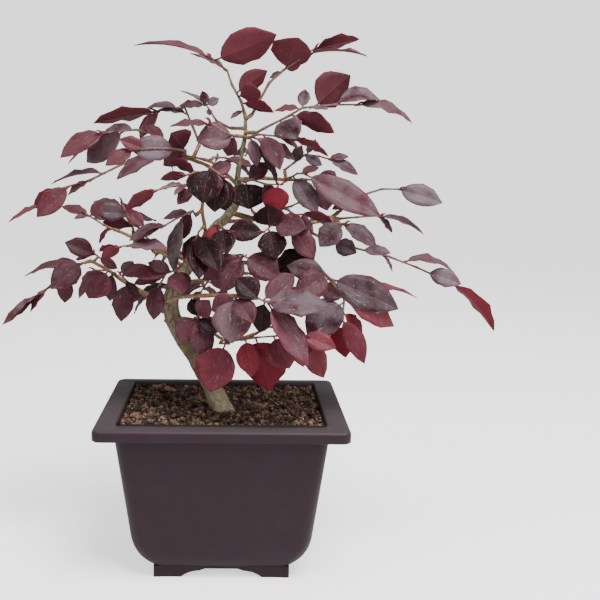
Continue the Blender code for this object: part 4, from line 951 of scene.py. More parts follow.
# %% Groups: veins, water marks and grain
VEIN_PAIRS = 6.5
veins, start, end = new_group("leaf_veins", [("NodeSocketVector", "UV")],
                              [("NodeSocketFloat", label) for label in ("Midrib", "Veins", "Edge")])
parts = add_node(veins, "ShaderNodeSeparateXYZ", {"Vector": start.outputs["UV"]})
from_middle = math_node(veins, "MULTIPLY_ADD", parts.outputs["X"], 2.0, -1.0)
side = math_node(veins, "ABSOLUTE", from_middle)
right_half = math_node(veins, "GREATER_THAN", from_middle, 0.0)
swept = math_node(veins, "POWER", side, 1.25)
phase = math_node(veins, "MULTIPLY_ADD", parts.outputs["Y"], VEIN_PAIRS, 10.0)
phase = math_node(veins, "MULTIPLY_ADD", swept, -1.5, phase)
phase = math_node(veins, "MULTIPLY_ADD", right_half, 0.37, phase)
gap = math_node(veins, "PINGPONG", phase, 0.5)
line = math_node(veins, "SUBTRACT", 1.0, ramp_between(veins, gap, 0.0, 0.11))
fade = math_node(veins, "SUBTRACT", 1.0, ramp_between(veins, side, 0.7, 0.97))
veins.links.new(product(veins, line, fade), end.inputs["Veins"])
veins.links.new(math_node(veins, "SUBTRACT", 1.0, ramp_between(veins, side, 0.02, 0.1)), end.inputs["Midrib"])
veins.links.new(ramp_between(veins, side, 0.86, 1.0), end.inputs["Edge"])

marks, start, end = new_group("water_marks", [("NodeSocketVector", "UV"), ("NodeSocketFloat", "Amount")],
                              [("NodeSocketFloat", "Marks")])
drops = add_node(marks, "ShaderNodeMapping", {"Vector": start.outputs["UV"], "Scale": (9, 17, 3)})
cells = add_node(marks, "ShaderNodeTexVoronoi", {"Vector": drops.outputs[0], "Scale": 1.0, "Randomness": 1.0})
dots = math_node(marks, "SUBTRACT", 1.0, ramp_between(marks, cells.outputs["Distance"], 0.04, 0.17))
chance = add_node(marks, "ShaderNodeSeparateXYZ", {"Vector": cells.outputs["Color"]}).outputs["X"]
chosen = math_node(marks, "GREATER_THAN", chance, 0.58)
run = add_node(marks, "ShaderNodeMapping", {"Vector": start.outputs["UV"], "Scale": (16, 3, 3)})
streaks = ramp_between(marks, noise_value(marks, run.outputs[0], 1.6, 4, 0.6), 0.6, 0.72)
both = math_node(marks, "MAXIMUM", product(marks, dots, chosen), product(marks, streaks, 0.6))
marks.links.new(math_node(marks, "MULTIPLY", both, start.outputs["Amount"], clamp=True), end.inputs["Marks"])

grain, start, end = new_group("fine_grain", [("NodeSocketVector", "Place"), ("NodeSocketFloat", "Scale")],
                              [("NodeSocketFloat", "Fine"), ("NodeSocketFloat", "Broad")])
place, scale = start.outputs["Place"], start.outputs["Scale"]
grain.links.new(noise_value(grain, place, scale, 4, 0.6), end.inputs["Fine"])
grain.links.new(noise_value(grain, place, product(grain, scale, 0.1), 3, 0.5), end.inputs["Broad"])
print("groups:", [group.name for group in bpy.data.node_groups])

# %% [markdown]
# ## Leaf finish
#
# The leaf of this shrub is burgundy all through. Its upper face is waxy and finely hairy; the soft grey-mauve
# sheen that it shows where it faces the sky is painted into its colour. Young leaves are redder and let light
# through, and part of their crimson is painted light shining through. Each leaf carries three numbers in a
# colour attribute: its painted sheen, its brightness, which also holds painted shade, and how much light it
# lets through. The same numbers shift the dried water marks, so no two leaves are marked alike.

# %% Leaf materials
DARK_BLADE, BURGUNDY, PAINTED_SHEEN_COLOUR = (0.012, 0.0035, 0.0045), (0.1, 0.025, 0.036), (0.195, 0.147, 0.172)
DARK_UNDERSIDE, LIGHT_UNDERSIDE = (0.02, 0.005, 0.007), (0.13, 0.034, 0.046)
YOUNG_RED_AND_PAINTED_GLOW, PINK_RIM = (0.2, 0.016, 0.03), (0.2, 0.035, 0.05)
VEIN, MIDRIB, DRIED_WATER = (0.25, 0.12, 0.14), (0.27, 0.12, 0.13), (0.5, 0.46, 0.48)
LIGHT_THROUGH_OLD, LIGHT_THROUGH_YOUNG = (0.07, 0.008, 0.012), (0.75, 0.07, 0.13)
LIGHT_THROUGH_SHARE = 0.3
MARK_SHIFT = (31, 17, 23)


def leaf_material(name, upper):
    """The finish of a blade's upper face or of its underside."""
    material, shader = plain_material(name, BURGUNDY, 0.45)
    tree = material.node_tree
    uv = add_node(tree, "ShaderNodeUVMap", uv_map="blade").outputs["UV"]
    place = add_node(tree, "ShaderNodeTexCoord").outputs["Object"]
    tone = add_node(tree, "ShaderNodeAttribute", attribute_name="leaf_tone").outputs["Color"]
    lines = use_group(tree, veins, {"UV": uv}).outputs
    shift = {0: tone, 1: MARK_SHIFT, 2: uv}
    own_uv = add_node(tree, "ShaderNodeVectorMath", shift, operation="MULTIPLY_ADD").outputs[0]
    tone = add_node(tree, "ShaderNodeSeparateColor", {"Color": tone}).outputs
    cloudy = use_group(tree, grain, {"Place": place, "Scale": 900.0}).outputs
    blotch = noise_value(tree, place, 70.0, 3, 0.6)

    uneven = math_node(tree, "SUBTRACT", blotch, 0.5)
    # Brightness of each leaf: old leaves are darker, and the nearly black leaves of the dense middle carry
    # painted shade as well
    brightness_and_shade = math_node(tree, "MULTIPLY_ADD", uneven, 0.9, tone["Green"], clamp=True)
    if upper:
        colour = mix_colour(tree, brightness_and_shade, DARK_BLADE, BURGUNDY)
        # Painted sheen: grey-mauve mixed into the upper face's colour by the leaf's sheen number, standing in
        # for the sky's light glinting on it
        painted_sheen_share = product(tree, tone["Red"], ramp_between(tree, cloudy["Broad"], 0.25, 0.6))
        colour = mix_colour(tree, product(tree, painted_sheen_share, 0.85), colour, PAINTED_SHEEN_COLOUR)
    else:
        colour = mix_colour(tree, brightness_and_shade, DARK_UNDERSIDE, LIGHT_UNDERSIDE)
    # Crimson by the light-through number: partly the young leaves' own red, partly painted light shining
    # through
    colour = mix_colour(tree, product(tree, tone["Blue"], 0.75), colour, YOUNG_RED_AND_PAINTED_GLOW)
    colour = mix_colour(tree, product(tree, lines["Edge"], 0.45), colour, PINK_RIM)
    colour = mix_colour(tree, product(tree, lines["Veins"], 0.07), colour, VEIN)
    colour = mix_colour(tree, product(tree, lines["Midrib"], 0.3), colour, MIDRIB)
    rough = math_node(tree, "MULTIPLY_ADD", cloudy["Broad"], 0.25, 0.3 if upper else 0.48)
    if upper:
        wet_share = math_node(tree, "MULTIPLY_ADD", tone["Red"], 0.5, 0.5)
        wet = use_group(tree, marks, {"UV": own_uv, "Amount": wet_share})
        colour = mix_colour(tree, wet.outputs["Marks"], colour, DRIED_WATER)
        rough = math_node(tree, "MULTIPLY_ADD", wet.outputs["Marks"], 0.3, rough)
    tree.links.new(colour, shader.inputs["Base Color"])
    tree.links.new(rough, shader.inputs["Roughness"])

    relief = product(tree, lines["Veins"], -0.5 if upper else 0.6)
    relief = math_node(tree, "MULTIPLY_ADD", lines["Midrib"], -0.9 if upper else 1.0, relief)
    relief = math_node(tree, "MULTIPLY_ADD", cloudy["Fine"], 0.35, relief)
    bump = add_node(tree, "ShaderNodeBump", {"Height": relief, "Strength": 0.5, "Distance": 0.35 * MM})
    tree.links.new(bump.outputs["Normal"], shader.inputs["Normal"])
    shader.inputs["Specular IOR Level"].default_value = 0.12
    shader.inputs["Sheen Weight"].default_value = 0.06 if upper else 0.03
    shader.inputs["Sheen Roughness"].default_value = 0.45
    shader.inputs["Sheen Tint"].default_value = (0.86, 0.78, 0.88, 1)

    glow = mix_colour(tree, tone["Blue"], LIGHT_THROUGH_OLD, LIGHT_THROUGH_YOUNG)
    through = add_node(tree, "ShaderNodeBsdfTranslucent", {"Color": glow, "Normal": bump.outputs["Normal"]})
    layers = {0: LIGHT_THROUGH_SHARE, 1: shader.outputs[0], 2: through.outputs[0]}
    both = add_node(tree, "ShaderNodeMixShader", layers)
    tree.links.new(both.outputs[0], tree.nodes["Material Output"].inputs["Surface"])
    return material


leaf_upper = leaf_material("leaf_upper", True)
leaf_under = leaf_material("leaf_under", False)
print("leaf finishes:", leaf_upper.name, leaf_under.name)

# %% [markdown]
# ## Bark finish
#
# The trunk is olive grey-brown with paler ridges and patches where thin bark flakes off orange-brown.
# Young twigs are orange-brown all over. Bark grows along the wood, so the pattern is stretched upwards.

# %% Bark, twig and bud materials
PALE_FOOT = (0.27, 0.225, 0.155)


def bark_material(name, deep, middle, pale, flake, scale, depth, pale_foot=False):
    """Rough bark in four colours, with flakes. The foot of a trunk can be paler."""
    material, shader = plain_material(name, middle, 0.85)
    tree = material.node_tree
    place = add_node(tree, "ShaderNodeTexCoord").outputs["Object"]
    drawn = add_node(tree, "ShaderNodeMapping", {"Vector": place, "Scale": (1, 1, 0.4)}).outputs[0]
    fibres = use_group(tree, grain, {"Place": drawn, "Scale": scale}).outputs
    cracks = {"Vector": drawn, "Scale": scale * 0.35}
    plates = add_node(tree, "ShaderNodeTexVoronoi", cracks, feature="DISTANCE_TO_EDGE")
    seams = math_node(tree, "SUBTRACT", 1.0, ramp_between(tree, plates.outputs["Distance"], 0.0, 0.16))
    colour = mix_colour(tree, ramp_between(tree, fibres["Broad"], 0.3, 0.7), middle, pale)
    grooves = ramp_between(tree, fibres["Fine"], 0.6, 0.36)
    colour = mix_colour(tree, product(tree, grooves, 0.7), colour, deep)
    flaking = ramp_between(tree, noise_value(tree, place, scale * 0.18, 2, 0.6), 0.54, 0.64)
    colour = mix_colour(tree, product(tree, flaking, 0.6), colour, flake)
    colour = mix_colour(tree, product(tree, seams, 0.35), colour, deep)
    if pale_foot:
        height = add_node(tree, "ShaderNodeSeparateXYZ", {"Vector": place}).outputs["Z"]
        low_down = ramp_between(tree, height, SOIL_LEVEL + 26 * MM, SOIL_LEVEL + 8 * MM)
        colour = mix_colour(tree, product(tree, low_down, 0.6), colour, PALE_FOOT)
    tree.links.new(colour, shader.inputs["Base Color"])
    tree.links.new(math_node(tree, "MULTIPLY_ADD", fibres["Fine"], 0.25, 0.65), shader.inputs["Roughness"])
    relief = math_node(tree, "MULTIPLY_ADD", seams, -0.8, fibres["Fine"])
    bump = add_node(tree, "ShaderNodeBump", {"Height": relief, "Strength": 0.8, "Distance": depth})
    tree.links.new(bump.outputs["Normal"], shader.inputs["Normal"])
    shader.inputs["Specular IOR Level"].default_value = 0.3
    return material


old_bark = bark_material("old_bark", (0.06, 0.046, 0.028), (0.135, 0.108, 0.064), (0.25, 0.205, 0.135),
                         (0.22, 0.125, 0.06), 620.0, 0.8 * MM, True)
young_bark = bark_material("young_bark", (0.07, 0.035, 0.02), (0.24, 0.125, 0.055), (0.33, 0.21, 0.12),
                           (0.2, 0.085, 0.05), 1400.0, 0.25 * MM)
spray_bark = bark_material("spray_bark", (0.05, 0.025, 0.02), (0.17, 0.08, 0.05), (0.26, 0.18, 0.15),
                           (0.16, 0.045, 0.04), 1800.0, 0.2 * MM)
bud_scale = bark_material("bud_scale", (0.1, 0.02, 0.014), (0.23, 0.065, 0.035), (0.3, 0.13, 0.08),
                          (0.26, 0.04, 0.03), 2600.0, 0.1 * MM)
print("bark finishes:", old_bark.name, young_bark.name, spray_bark.name, bud_scale.name)

# %% [markdown]
# ## Plastic and soil finish
#
# The pot is injection-moulded plastic: nearly black aubergine brown, matt, with a faint grain from the
# mould. Its rim top is paler: partly a trace of soil dust, partly painted light from above. The corners of
# its lip are a little smoother. The soil is dark and crumbly, and each crumb is rough.

# %% Pot and soil materials
AUBERGINE, SCUFFED, SOIL_DUST_AND_TOP_LIGHT = (0.023, 0.0115, 0.016), (0.031, 0.018, 0.0235), (0.085, 0.072, 0.073)
LIP_LOW_EDGE = POT_HEIGHT - 7.5 * MM


def near_end(tree, place, axis, half):
    """A mask that rises to 1 in the outer 3 mm of the rim along one axis."""
    value = add_node(tree, "ShaderNodeSeparateXYZ", {"Vector": place}).outputs[axis]
    from_middle = math_node(tree, "SUBTRACT", value, POT_MIDDLE["XY".index(axis)])
    return ramp_between(tree, math_node(tree, "ABSOLUTE", from_middle), half - 6 * MM, half - 3 * MM)


def plastic_material():
    """Matt moulded plastic with grain, faint scuffs, a paler rim top that is part dust and part painted
    light, and smooth lip corners.
    """
    material, shader = plain_material("moulded_plastic", AUBERGINE, 0.42)
    tree = material.node_tree
    place = add_node(tree, "ShaderNodeTexCoord").outputs["Object"]
    skin = use_group(tree, grain, {"Place": place, "Scale": 1500.0}).outputs
    height = add_node(tree, "ShaderNodeSeparateXYZ", {"Vector": place}).outputs["Z"]
    near_top = ramp_between(tree, height, POT_HEIGHT - 2.2 * MM, POT_HEIGHT - 0.2 * MM)
    specks = ramp_between(tree, noise_value(tree, place, 420.0, 5, 0.7), 0.58, 0.72)
    # Paler near the top: partly soil dust, partly painted light that falls on the rim from above
    dust_and_top_light = product(tree, near_top, math_node(tree, "MULTIPLY_ADD", specks, 0.35, 0.3))
    scuffs = ramp_between(tree, noise_value(tree, place, 45.0, 6, 0.65), 0.45, 0.75)
    colour = mix_colour(tree, product(tree, scuffs, 0.6), AUBERGINE, SCUFFED)
    colour = mix_colour(tree, dust_and_top_light, colour, SOIL_DUST_AND_TOP_LIGHT)
    tree.links.new(colour, shader.inputs["Base Color"])
    rough = math_node(tree, "MULTIPLY_ADD", scuffs, 0.12, 0.42)
    rough = math_node(tree, "MULTIPLY_ADD", dust_and_top_light, 0.4, rough)
    relief = math_node(tree, "MULTIPLY_ADD", skin["Broad"], 0.5, skin["Fine"])
    bump = add_node(tree, "ShaderNodeBump", {"Height": relief, "Strength": 0.25, "Distance": 0.12 * MM})
    tree.links.new(bump.outputs["Normal"], shader.inputs["Normal"])
    far_across = near_end(tree, place, "X", RIM_HALF_WIDTH)
    far_back = near_end(tree, place, "Y", RIM_HALF_DEPTH)
    on_lip = ramp_between(tree, height, LIP_LOW_EDGE, LIP_LOW_EDGE + 1 * MM)
    worn = product(tree, product(tree, far_across, far_back), on_lip)
    tree.links.new(math_node(tree, "MULTIPLY_ADD", worn, -0.26, rough), shader.inputs["Roughness"])
    shader.inputs["Specular IOR Level"].default_value = 0.15
    return material


def soil_material(name, dark, light, rough=0.95):
    """Crumbly soil between a dark and a light brown."""
    material, shader = plain_material(name, dark, rough)
    tree = material.node_tree
    place = add_node(tree, "ShaderNodeTexCoord").outputs["Object"]
    crumb = use_group(tree, grain, {"Place": place, "Scale": 2200.0}).outputs
    patch = noise_value(tree, place, 160.0, 3, 0.6)
    tops = ramp_between(tree, crumb["Fine"], 0.3, 0.65)
    amount = product(tree, ramp_between(tree, patch, 0.3, 0.72), tops)
    tree.links.new(mix_colour(tree, amount, dark, light), shader.inputs["Base Color"])
    uneven = math_node(tree, "MULTIPLY_ADD", crumb["Fine"], 0.15, rough - 0.1)
    tree.links.new(uneven, shader.inputs["Roughness"])
    bump = add_node(tree, "ShaderNodeBump", {"Height": crumb["Fine"], "Strength": 0.9, "Distance": 0.5 * MM})
    tree.links.new(bump.outputs["Normal"], shader.inputs["Normal"])
    shader.inputs["Specular IOR Level"].default_value = 0.25
    return material


moulded_plastic = plastic_material()
damp_soil = soil_material("damp_soil", (0.012, 0.0065, 0.0045), (0.09, 0.052, 0.035))
brown_crumb = soil_material("brown_crumb", (0.035, 0.018, 0.012), (0.33, 0.205, 0.14))
bark_chip = soil_material("bark_chip", (0.16, 0.085, 0.035), (0.42, 0.27, 0.13), 0.8)
white_grit = soil_material("white_grit", (0.45, 0.42, 0.37), (0.85, 0.83, 0.78), 0.7)
print("pot and soil finishes are ready")

# %% [markdown]
# ## The pot
#
# A moulded pot is a thin shell. One ring of points is pulled through its whole section: from the underside
# up the outer wall, round the hanging lip and over the rim, then down the inner wall to the floor. The
# ring has many points in its corners, so the soft vertical edges are really round.

# %% Rings and smooth rows
CORNER_STEPS = 7


def rounded_loop(half_x, half_y, radius, z):
    """Points round a rectangle with rounded corners, anticlockwise from above."""
    points = []
    for corner in range(4):
        centre_x = (half_x - radius) * (1 if corner in (0, 3) else -1)
        centre_y = (half_y - radius) * (1 if corner in (0, 1) else -1)
        for step in range(CORNER_STEPS + 1):
            angle = (corner + step / CORNER_STEPS) * math.pi / 2
            x = centre_x + radius * math.cos(angle)
            y = centre_y + radius * math.sin(angle)
            points.append(Vector((x, y, z)))
    return points


def smooth_rows(rows, steps):
    """Rows of numbers joined by a smooth curve that passes through each of them."""
    fine = []
    for index in range(len(rows) - 1):
        before = rows[max(0, index - 1)]
        after = rows[min(len(rows) - 1, index + 2)]
        for step in range(steps):
            t = step / steps
            row = []
            for p, a, b, q in zip(before, rows[index], rows[index + 1], after):
                bend = (2 * p - 5 * a + 4 * b - q) * t * t + (3 * a - p - 3 * b + q) * t * t * t
                row.append(a + ((b - p) * t + bend) / 2)
            fine.append(tuple(row))
    fine.append(tuple(rows[-1]))
    return fine


def pull_ring(bm, ring, loop):
    """Extrudes a ring of points to a new loop, and returns the new ring."""
    edges = [bm.edges.get((a, b)) for a, b in zip(ring, ring[1:] + ring[:1])]
    grown = bmesh.ops.extrude_edge_only(bm, edges=edges)["geom"]
    fresh = {item for item in grown if isinstance(item, bmesh.types.BMVert)}
    moved = []
    for vert, place in zip(ring, loop):
        partner = next(edge.other_vert(vert) for edge in vert.link_edges if edge.other_vert(vert) in fresh)
        moved.append((partner, place))
    for partner, place in moved:
        partner.co = place
    return [partner for partner, place in moved]


def ring_tube(bm, loops):
    """A closed body through a stack of loops."""
    ring = bmesh.ops.create_circle(bm, segments=len(loops[0]), radius=1)["verts"]
    for vert, place in zip(ring, loops[0]):
        vert.co = place
    first = ring
    for loop in loops[1:]:
        ring = pull_ring(bm, ring, loop)
    for end in (first, ring):
        bmesh.ops.contextual_create(bm, geom=[bm.edges.get((a, b)) for a, b in zip(end, end[1:] + end[:1])])
    return first


print("a pot ring has", len(rounded_loop(1, 1, 0.1, 0)), "points")

# %% The pot's sections
def pot_inside(clear):
    """The pot's inner wall from its floor to its mouth, drawn in by a clearance."""
    mouth_x, mouth_y = MOUTH_HALF_WIDTH, MOUTH_HALF_DEPTH
    sizes = [
        (mouth_x - 22.8 * MM, mouth_y - 18.4 * MM, 6 * MM, FLOOR_TOP),
        (mouth_x - 17.8 * MM, mouth_y - 14.2 * MM, 7 * MM, FLOOR_TOP + 2.6 * MM),
        (mouth_x - 11.4 * MM, mouth_y - 10.6 * MM, 8 * MM, FLOOR_TOP + 8.6 * MM),
        (mouth_x - 8.8 * MM, mouth_y - 8.6 * MM, 8 * MM, FLOOR_TOP + 18 * MM),
        (mouth_x - 1.2 * MM, mouth_y - 1.0 * MM, 4 * MM, POT_HEIGHT - 6 * MM),
        (mouth_x - 0.6 * MM, mouth_y - 0.6 * MM, 3.5 * MM, POT_HEIGHT - 0.8 * MM),
    ]
    return [(x - clear, y - clear, radius, z) for x, y, radius, z in sizes]


def pot_outside():
    """The pot's outer wall from its underside to its rim, with the curve of its shoulder made smooth."""
    inner_x = MOUTH_HALF_WIDTH + WALL - 1.0 * MM
    inner_y = MOUTH_HALF_DEPTH + WALL - 1.0 * MM
    flange = POT_HEIGHT - RIM_THICKNESS
    lip_bottom = POT_HEIGHT - RIM_LIP
    x, y = RIM_HALF_WIDTH, RIM_HALF_DEPTH
    belly = smooth_rows([
        (FOOT_HALF_WIDTH - 2.4 * MM, FOOT_HALF_DEPTH - 2.6 * MM, 7 * MM, UNDERSIDE),
        (FOOT_HALF_WIDTH + 0.8 * MM, FOOT_HALF_DEPTH + 0.3 * MM, 8 * MM, UNDERSIDE + 1.9 * MM),
        (FOOT_HALF_WIDTH + 4.2 * MM, FOOT_HALF_DEPTH + 2.1 * MM, 9 * MM, UNDERSIDE + 3.9 * MM),
        (FOOT_HALF_WIDTH + 9.0 * MM, FOOT_HALF_DEPTH + 4.6 * MM, 10 * MM, UNDERSIDE + 8.4 * MM),
        (FOOT_HALF_WIDTH + 12.6 * MM, FOOT_HALF_DEPTH + 6.7 * MM, 10 * MM, UNDERSIDE + 15 * MM),
        (FOOT_HALF_WIDTH + 14.4 * MM, FOOT_HALF_DEPTH + 7.8 * MM, 10 * MM, UNDERSIDE + 22 * MM),
    ], 3)
    wall_foot = belly[-1]
    wall_top = (inner_x, inner_y, 6 * MM, lip_bottom + 0.2 * MM)
    wall = [tuple(a + (b - a) * step / 6 for a, b in zip(wall_foot, wall_top)) for step in range(1, 7)]
    rim = [
        (inner_x + 1.1 * MM, inner_y + 1.1 * MM, 6 * MM, lip_bottom + 0.5 * MM),
        (inner_x + 1.6 * MM, inner_y + 1.6 * MM, 6 * MM, lip_bottom + 1.4 * MM),
        (inner_x + 1.6 * MM, inner_y + 1.6 * MM, 6 * MM, flange - 0.6 * MM),
        (inner_x + 2.2 * MM, inner_y + 2.2 * MM, 6 * MM, flange),
        (x - WALL - 0.6 * MM, y - WALL - 0.6 * MM, 3.4 * MM, flange),
        (x - WALL, y - WALL, 3.4 * MM, flange - 0.6 * MM),
        (x - WALL, y - WALL, 3.4 * MM, lip_bottom + 0.3 * MM),
        (x - WALL + 0.4 * MM, y - WALL + 0.4 * MM, 3.8 * MM, lip_bottom),
        (x - 0.6 * MM, y - 0.6 * MM, 5 * MM, lip_bottom),
        (x - 0.15 * MM, y - 0.15 * MM, 5.3 * MM, lip_bottom + 0.3 * MM),
        (x, y, 5.4 * MM, lip_bottom + 0.9 * MM),
        (x, y, 5.4 * MM, POT_HEIGHT - 1.9 * MM),
        (x - 0.25 * MM, y - 0.25 * MM, 5.2 * MM, POT_HEIGHT - 1.1 * MM),
        (x - 0.8 * MM, y - 0.8 * MM, 4.9 * MM, POT_HEIGHT - 0.45 * MM),
        (x - 1.5 * MM, y - 1.5 * MM, 4.5 * MM, POT_HEIGHT - 0.1 * MM),
        (x - 2.3 * MM, y - 2.3 * MM, 4.2 * MM, POT_HEIGHT),
    ]
    return belly + wall + rim


print("sections of the outer wall:", len(pot_outside()))

# %% [markdown]
# ## Feet and drain holes
#
# A skirt with a low bracket arch runs under each side, and its ends are the feet. The skirts are extruded
# from their outline and lightly bevelled, as a mould can't make a knife edge. A Boolean then joins them to
# the shell and another cuts the drain holes.

# %% Boolean helper
# Half of a skirt's lower edge, in mm: how far along from its end, and how high. The flat part is the foot.
BRACKET = [
    (0, 0), (17.5, 0), (19.4, 1.4), (23.0, 3.1), (26.2, 3.9), (29.4, 4.3), (31.0, 4.9), (33.0, 5.6),
]


def combine(item, pieces, operation):
    """Joins pieces to an object, or cuts them from it, by one Boolean that is applied and cleared away."""
    collection = bpy.data.collections.new("cutting")
    bpy.context.scene.collection.children.link(collection)
    for bm in pieces:
        bmesh.ops.translate(bm, vec=POT_MIDDLE, verts=bm.verts[:])
        mesh = bpy.data.meshes.new("cutter")
        bm.to_mesh(mesh)
        bm.free()
        collection.objects.link(bpy.data.objects.new("cutter", mesh))
    modifier = item.modifiers.new("combine", "BOOLEAN")
    modifier.operation = operation
    modifier.solver = "EXACT"
    modifier.operand_type = "COLLECTION"
    modifier.collection = collection
    graph = bpy.context.evaluated_depsgraph_get()
    graph.update()
    old = item.data
    item.data = bpy.data.meshes.new_from_object(item.evaluated_get(graph))
    item.data.name = item.name
    item.modifiers.clear()
    bpy.data.meshes.remove(old)
    for piece in list(collection.objects):
        mesh = piece.data
        bpy.data.objects.remove(piece)
        bpy.data.meshes.remove(mesh)
    bpy.data.collections.remove(collection)


def foot_skirt(half, face, across, outward):
    """A skirt under one side of the pot: a foot at each end and a low bracket arch between them."""
    outline = [(run * MM - half, height * MM) for run, height in BRACKET]
    outline += [(half - run * MM, height * MM) for run, height in BRACKET[::-1]]
    outline += [(half, FLOOR_TOP - 0.6 * MM), (-half, FLOOR_TOP - 0.6 * MM)]
    bm = bmesh.new()
    verts = [bm.verts.new(across * run + outward * face + UP * height) for run, height in outline]
    grown = bmesh.ops.extrude_face_region(bm, geom=[bm.faces.new(verts)])["geom"]
    moved = [item for item in grown if isinstance(item, bmesh.types.BMVert)]
    bmesh.ops.translate(bm, vec=-outward * FOOT_THICKNESS, verts=moved)
    bmesh.ops.recalc_face_normals(bm, faces=bm.faces[:])
    front = [edge for edge in bm.edges
             if all(abs(vert.co.dot(outward) - face) < 1e-6 for vert in edge.verts)
             and max(vert.co.z for vert in edge.verts) < FLOOR_TOP - 1 * MM]
    bmesh.ops.bevel(bm, geom=front, offset=0.5 * MM, segments=2, profile=0.5, affect="EDGES", material=-1)
    return bm


print("a foot is", BRACKET[1][0], "mm long on the ground")

# %% The finished pot
BIG_DRAIN_RADIUS = 7 * MM
SMALL_DRAIN_RADIUS = 2.5 * MM


def round_cutter(x, y, radius):
    """An upright cylinder through the pot's floor."""
    bm = bmesh.new()
    bottom, top = UNDERSIDE - 3 * MM, FLOOR_TOP + 3 * MM
    place = Matrix.Translation((x, y, (bottom + top) / 2))
    bmesh.ops.create_cone(bm, cap_ends=True, segments=32, radius1=radius, radius2=radius,
                          depth=top - bottom, matrix=place)
    return bm


rim_top = [(MOUTH_HALF_WIDTH + 0.7 * MM, MOUTH_HALF_DEPTH + 0.7 * MM, 4.3 * MM, POT_HEIGHT),
           (MOUTH_HALF_WIDTH, MOUTH_HALF_DEPTH, 4 * MM, POT_HEIGHT - 0.3 * MM)]
inner_wall = smooth_rows(pot_inside(0), 3)[::-1]
bm = bmesh.new()
ring_tube(bm, [rounded_loop(*size) for size in pot_outside() + rim_top + inner_wall])
bmesh.ops.recalc_face_normals(bm, faces=bm.faces[:])
pot = finished_object("moulded_pot", bm, [moulded_plastic])
skirts = []
for side in (-1, 1):
    skirts.append(foot_skirt(FOOT_HALF_WIDTH, FOOT_HALF_DEPTH, ACROSS, BACK * side))
    skirts.append(foot_skirt(FOOT_HALF_DEPTH, FOOT_HALF_WIDTH, BACK, ACROSS * side))
combine(pot, skirts, "UNION")
cutters = [round_cutter(side * 20 * MM, 0, BIG_DRAIN_RADIUS) for side in (-1, 1)]
for x, y in ((-31, 18), (31, 18), (-31, -18), (31, -18)):
    cutters.append(round_cutter(x * MM, y * MM, SMALL_DRAIN_RADIUS))
combine(pot, cutters, "DIFFERENCE")
pot.data.shade_smooth()
pot.data.set_sharp_from_angle(angle=math.radians(38))
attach(pot, "root")
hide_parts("pot")
print("pot faces:", len(pot.data.polygons))

# %% [markdown]
# ## The soil
#
# The soil is a bed with a knobbly top, and thousands of loose crumbs lie on it. A formula gives the top's
# height at any place: crumbs of two sizes, a shallow dish and a low mound at the trunk. A crumb is a small
# ball that is squashed and roughened. Most have only twenty faces, because there are so many.

# %% The soil's height
def soil_height(x, y):
    """The soil's top at a place: crumbs of two sizes, a shallow dish, and a low mound at the trunk."""
    place = Vector((x, y, 0)) / MM
    crumbs = 0.65 * noise.noise(place / 8.5) + 0.45 * noise.noise(place / 4.2 + Vector((5, 3, 1)))
    mound = 1.6 * math.exp(-((place - MOUND_MIDDLE).length / 17) ** 2)
    dish = 0.9 * (abs(x) / RIM_HALF_WIDTH) ** 2
    return SOIL_LEVEL + SOIL_RELIEF * crumbs + (mound - dish) * MM


def within_mouth(x, y, clear):
    """A place drawn in so that it lies inside the pot's mouth."""
    half_x = MOUTH_HALF_WIDTH - 0.9 * MM - clear
    half_y = MOUTH_HALF_DEPTH - 0.9 * MM - clear
    radius = 3.5 * MM
    x, y = max(-half_x, min(half_x, x)), max(-half_y, min(half_y, y))
    out_x, out_y = abs(x) - (half_x - radius), abs(y) - (half_y - radius)
    if out_x > 0 and out_y > 0 and math.hypot(out_x, out_y) > radius:
        shrink = radius / math.hypot(out_x, out_y)
        x = math.copysign(half_x - radius + out_x * shrink, x)
        y = math.copysign(half_y - radius + out_y * shrink, y)
    return x, y


print("soil at the middle:", round(soil_height(0, 0) / MM, 1), "mm above the ground")

# %% The soil bed
BED_CELLS = (150, 124)
bm = bmesh.new()
bmesh.ops.create_grid(bm, x_segments=BED_CELLS[0], y_segments=BED_CELLS[1], size=1)
for vert in bm.verts:
    x, y = within_mouth(vert.co.x * MOUTH_HALF_WIDTH, vert.co.y * MOUTH_HALF_DEPTH, 0.2 * MM)
    rough = noise.fractal(Vector((x, y, 0)) / (2.6 * MM), 1.0, 2.0, 3)
    vert.co = (x, y, soil_height(x, y) - 0.9 * MM + rough * 0.7 * MM)
rim_edges = [edge for edge in bm.edges if edge.is_boundary]
for x, y, radius, z in pot_inside(GAP)[-2::-1]:
    grown = bmesh.ops.extrude_edge_only(bm, edges=rim_edges)["geom"]
    rim_edges = [item for item in grown if isinstance(item, bmesh.types.BMEdge) and item.is_boundary]
    for vert in {vert for edge in rim_edges for vert in edge.verts}:
        share_x, share_y = vert.co.x / (MOUTH_HALF_WIDTH + 1 * MM), vert.co.y / (MOUTH_HALF_DEPTH + 1 * MM)
        vert.co = (share_x * x, share_y * y, z + GAP)
        vert.co.x /= abs(vert.co.x) / x if abs(vert.co.x) > x else 1
        vert.co.y /= abs(vert.co.y) / y if abs(vert.co.y) > y else 1
bmesh.ops.contextual_create(bm, geom=rim_edges)
bmesh.ops.recalc_face_normals(bm, faces=bm.faces[:])
bed = finished_object("soil_bed", bm, [damp_soil], 60)
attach(bed, "root")
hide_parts("soil")
print("soil bed faces:", len(bed.data.polygons))

# %% Loose crumbs
CRUMBS = 5600
CRUMBS_IN_BATCH = 280


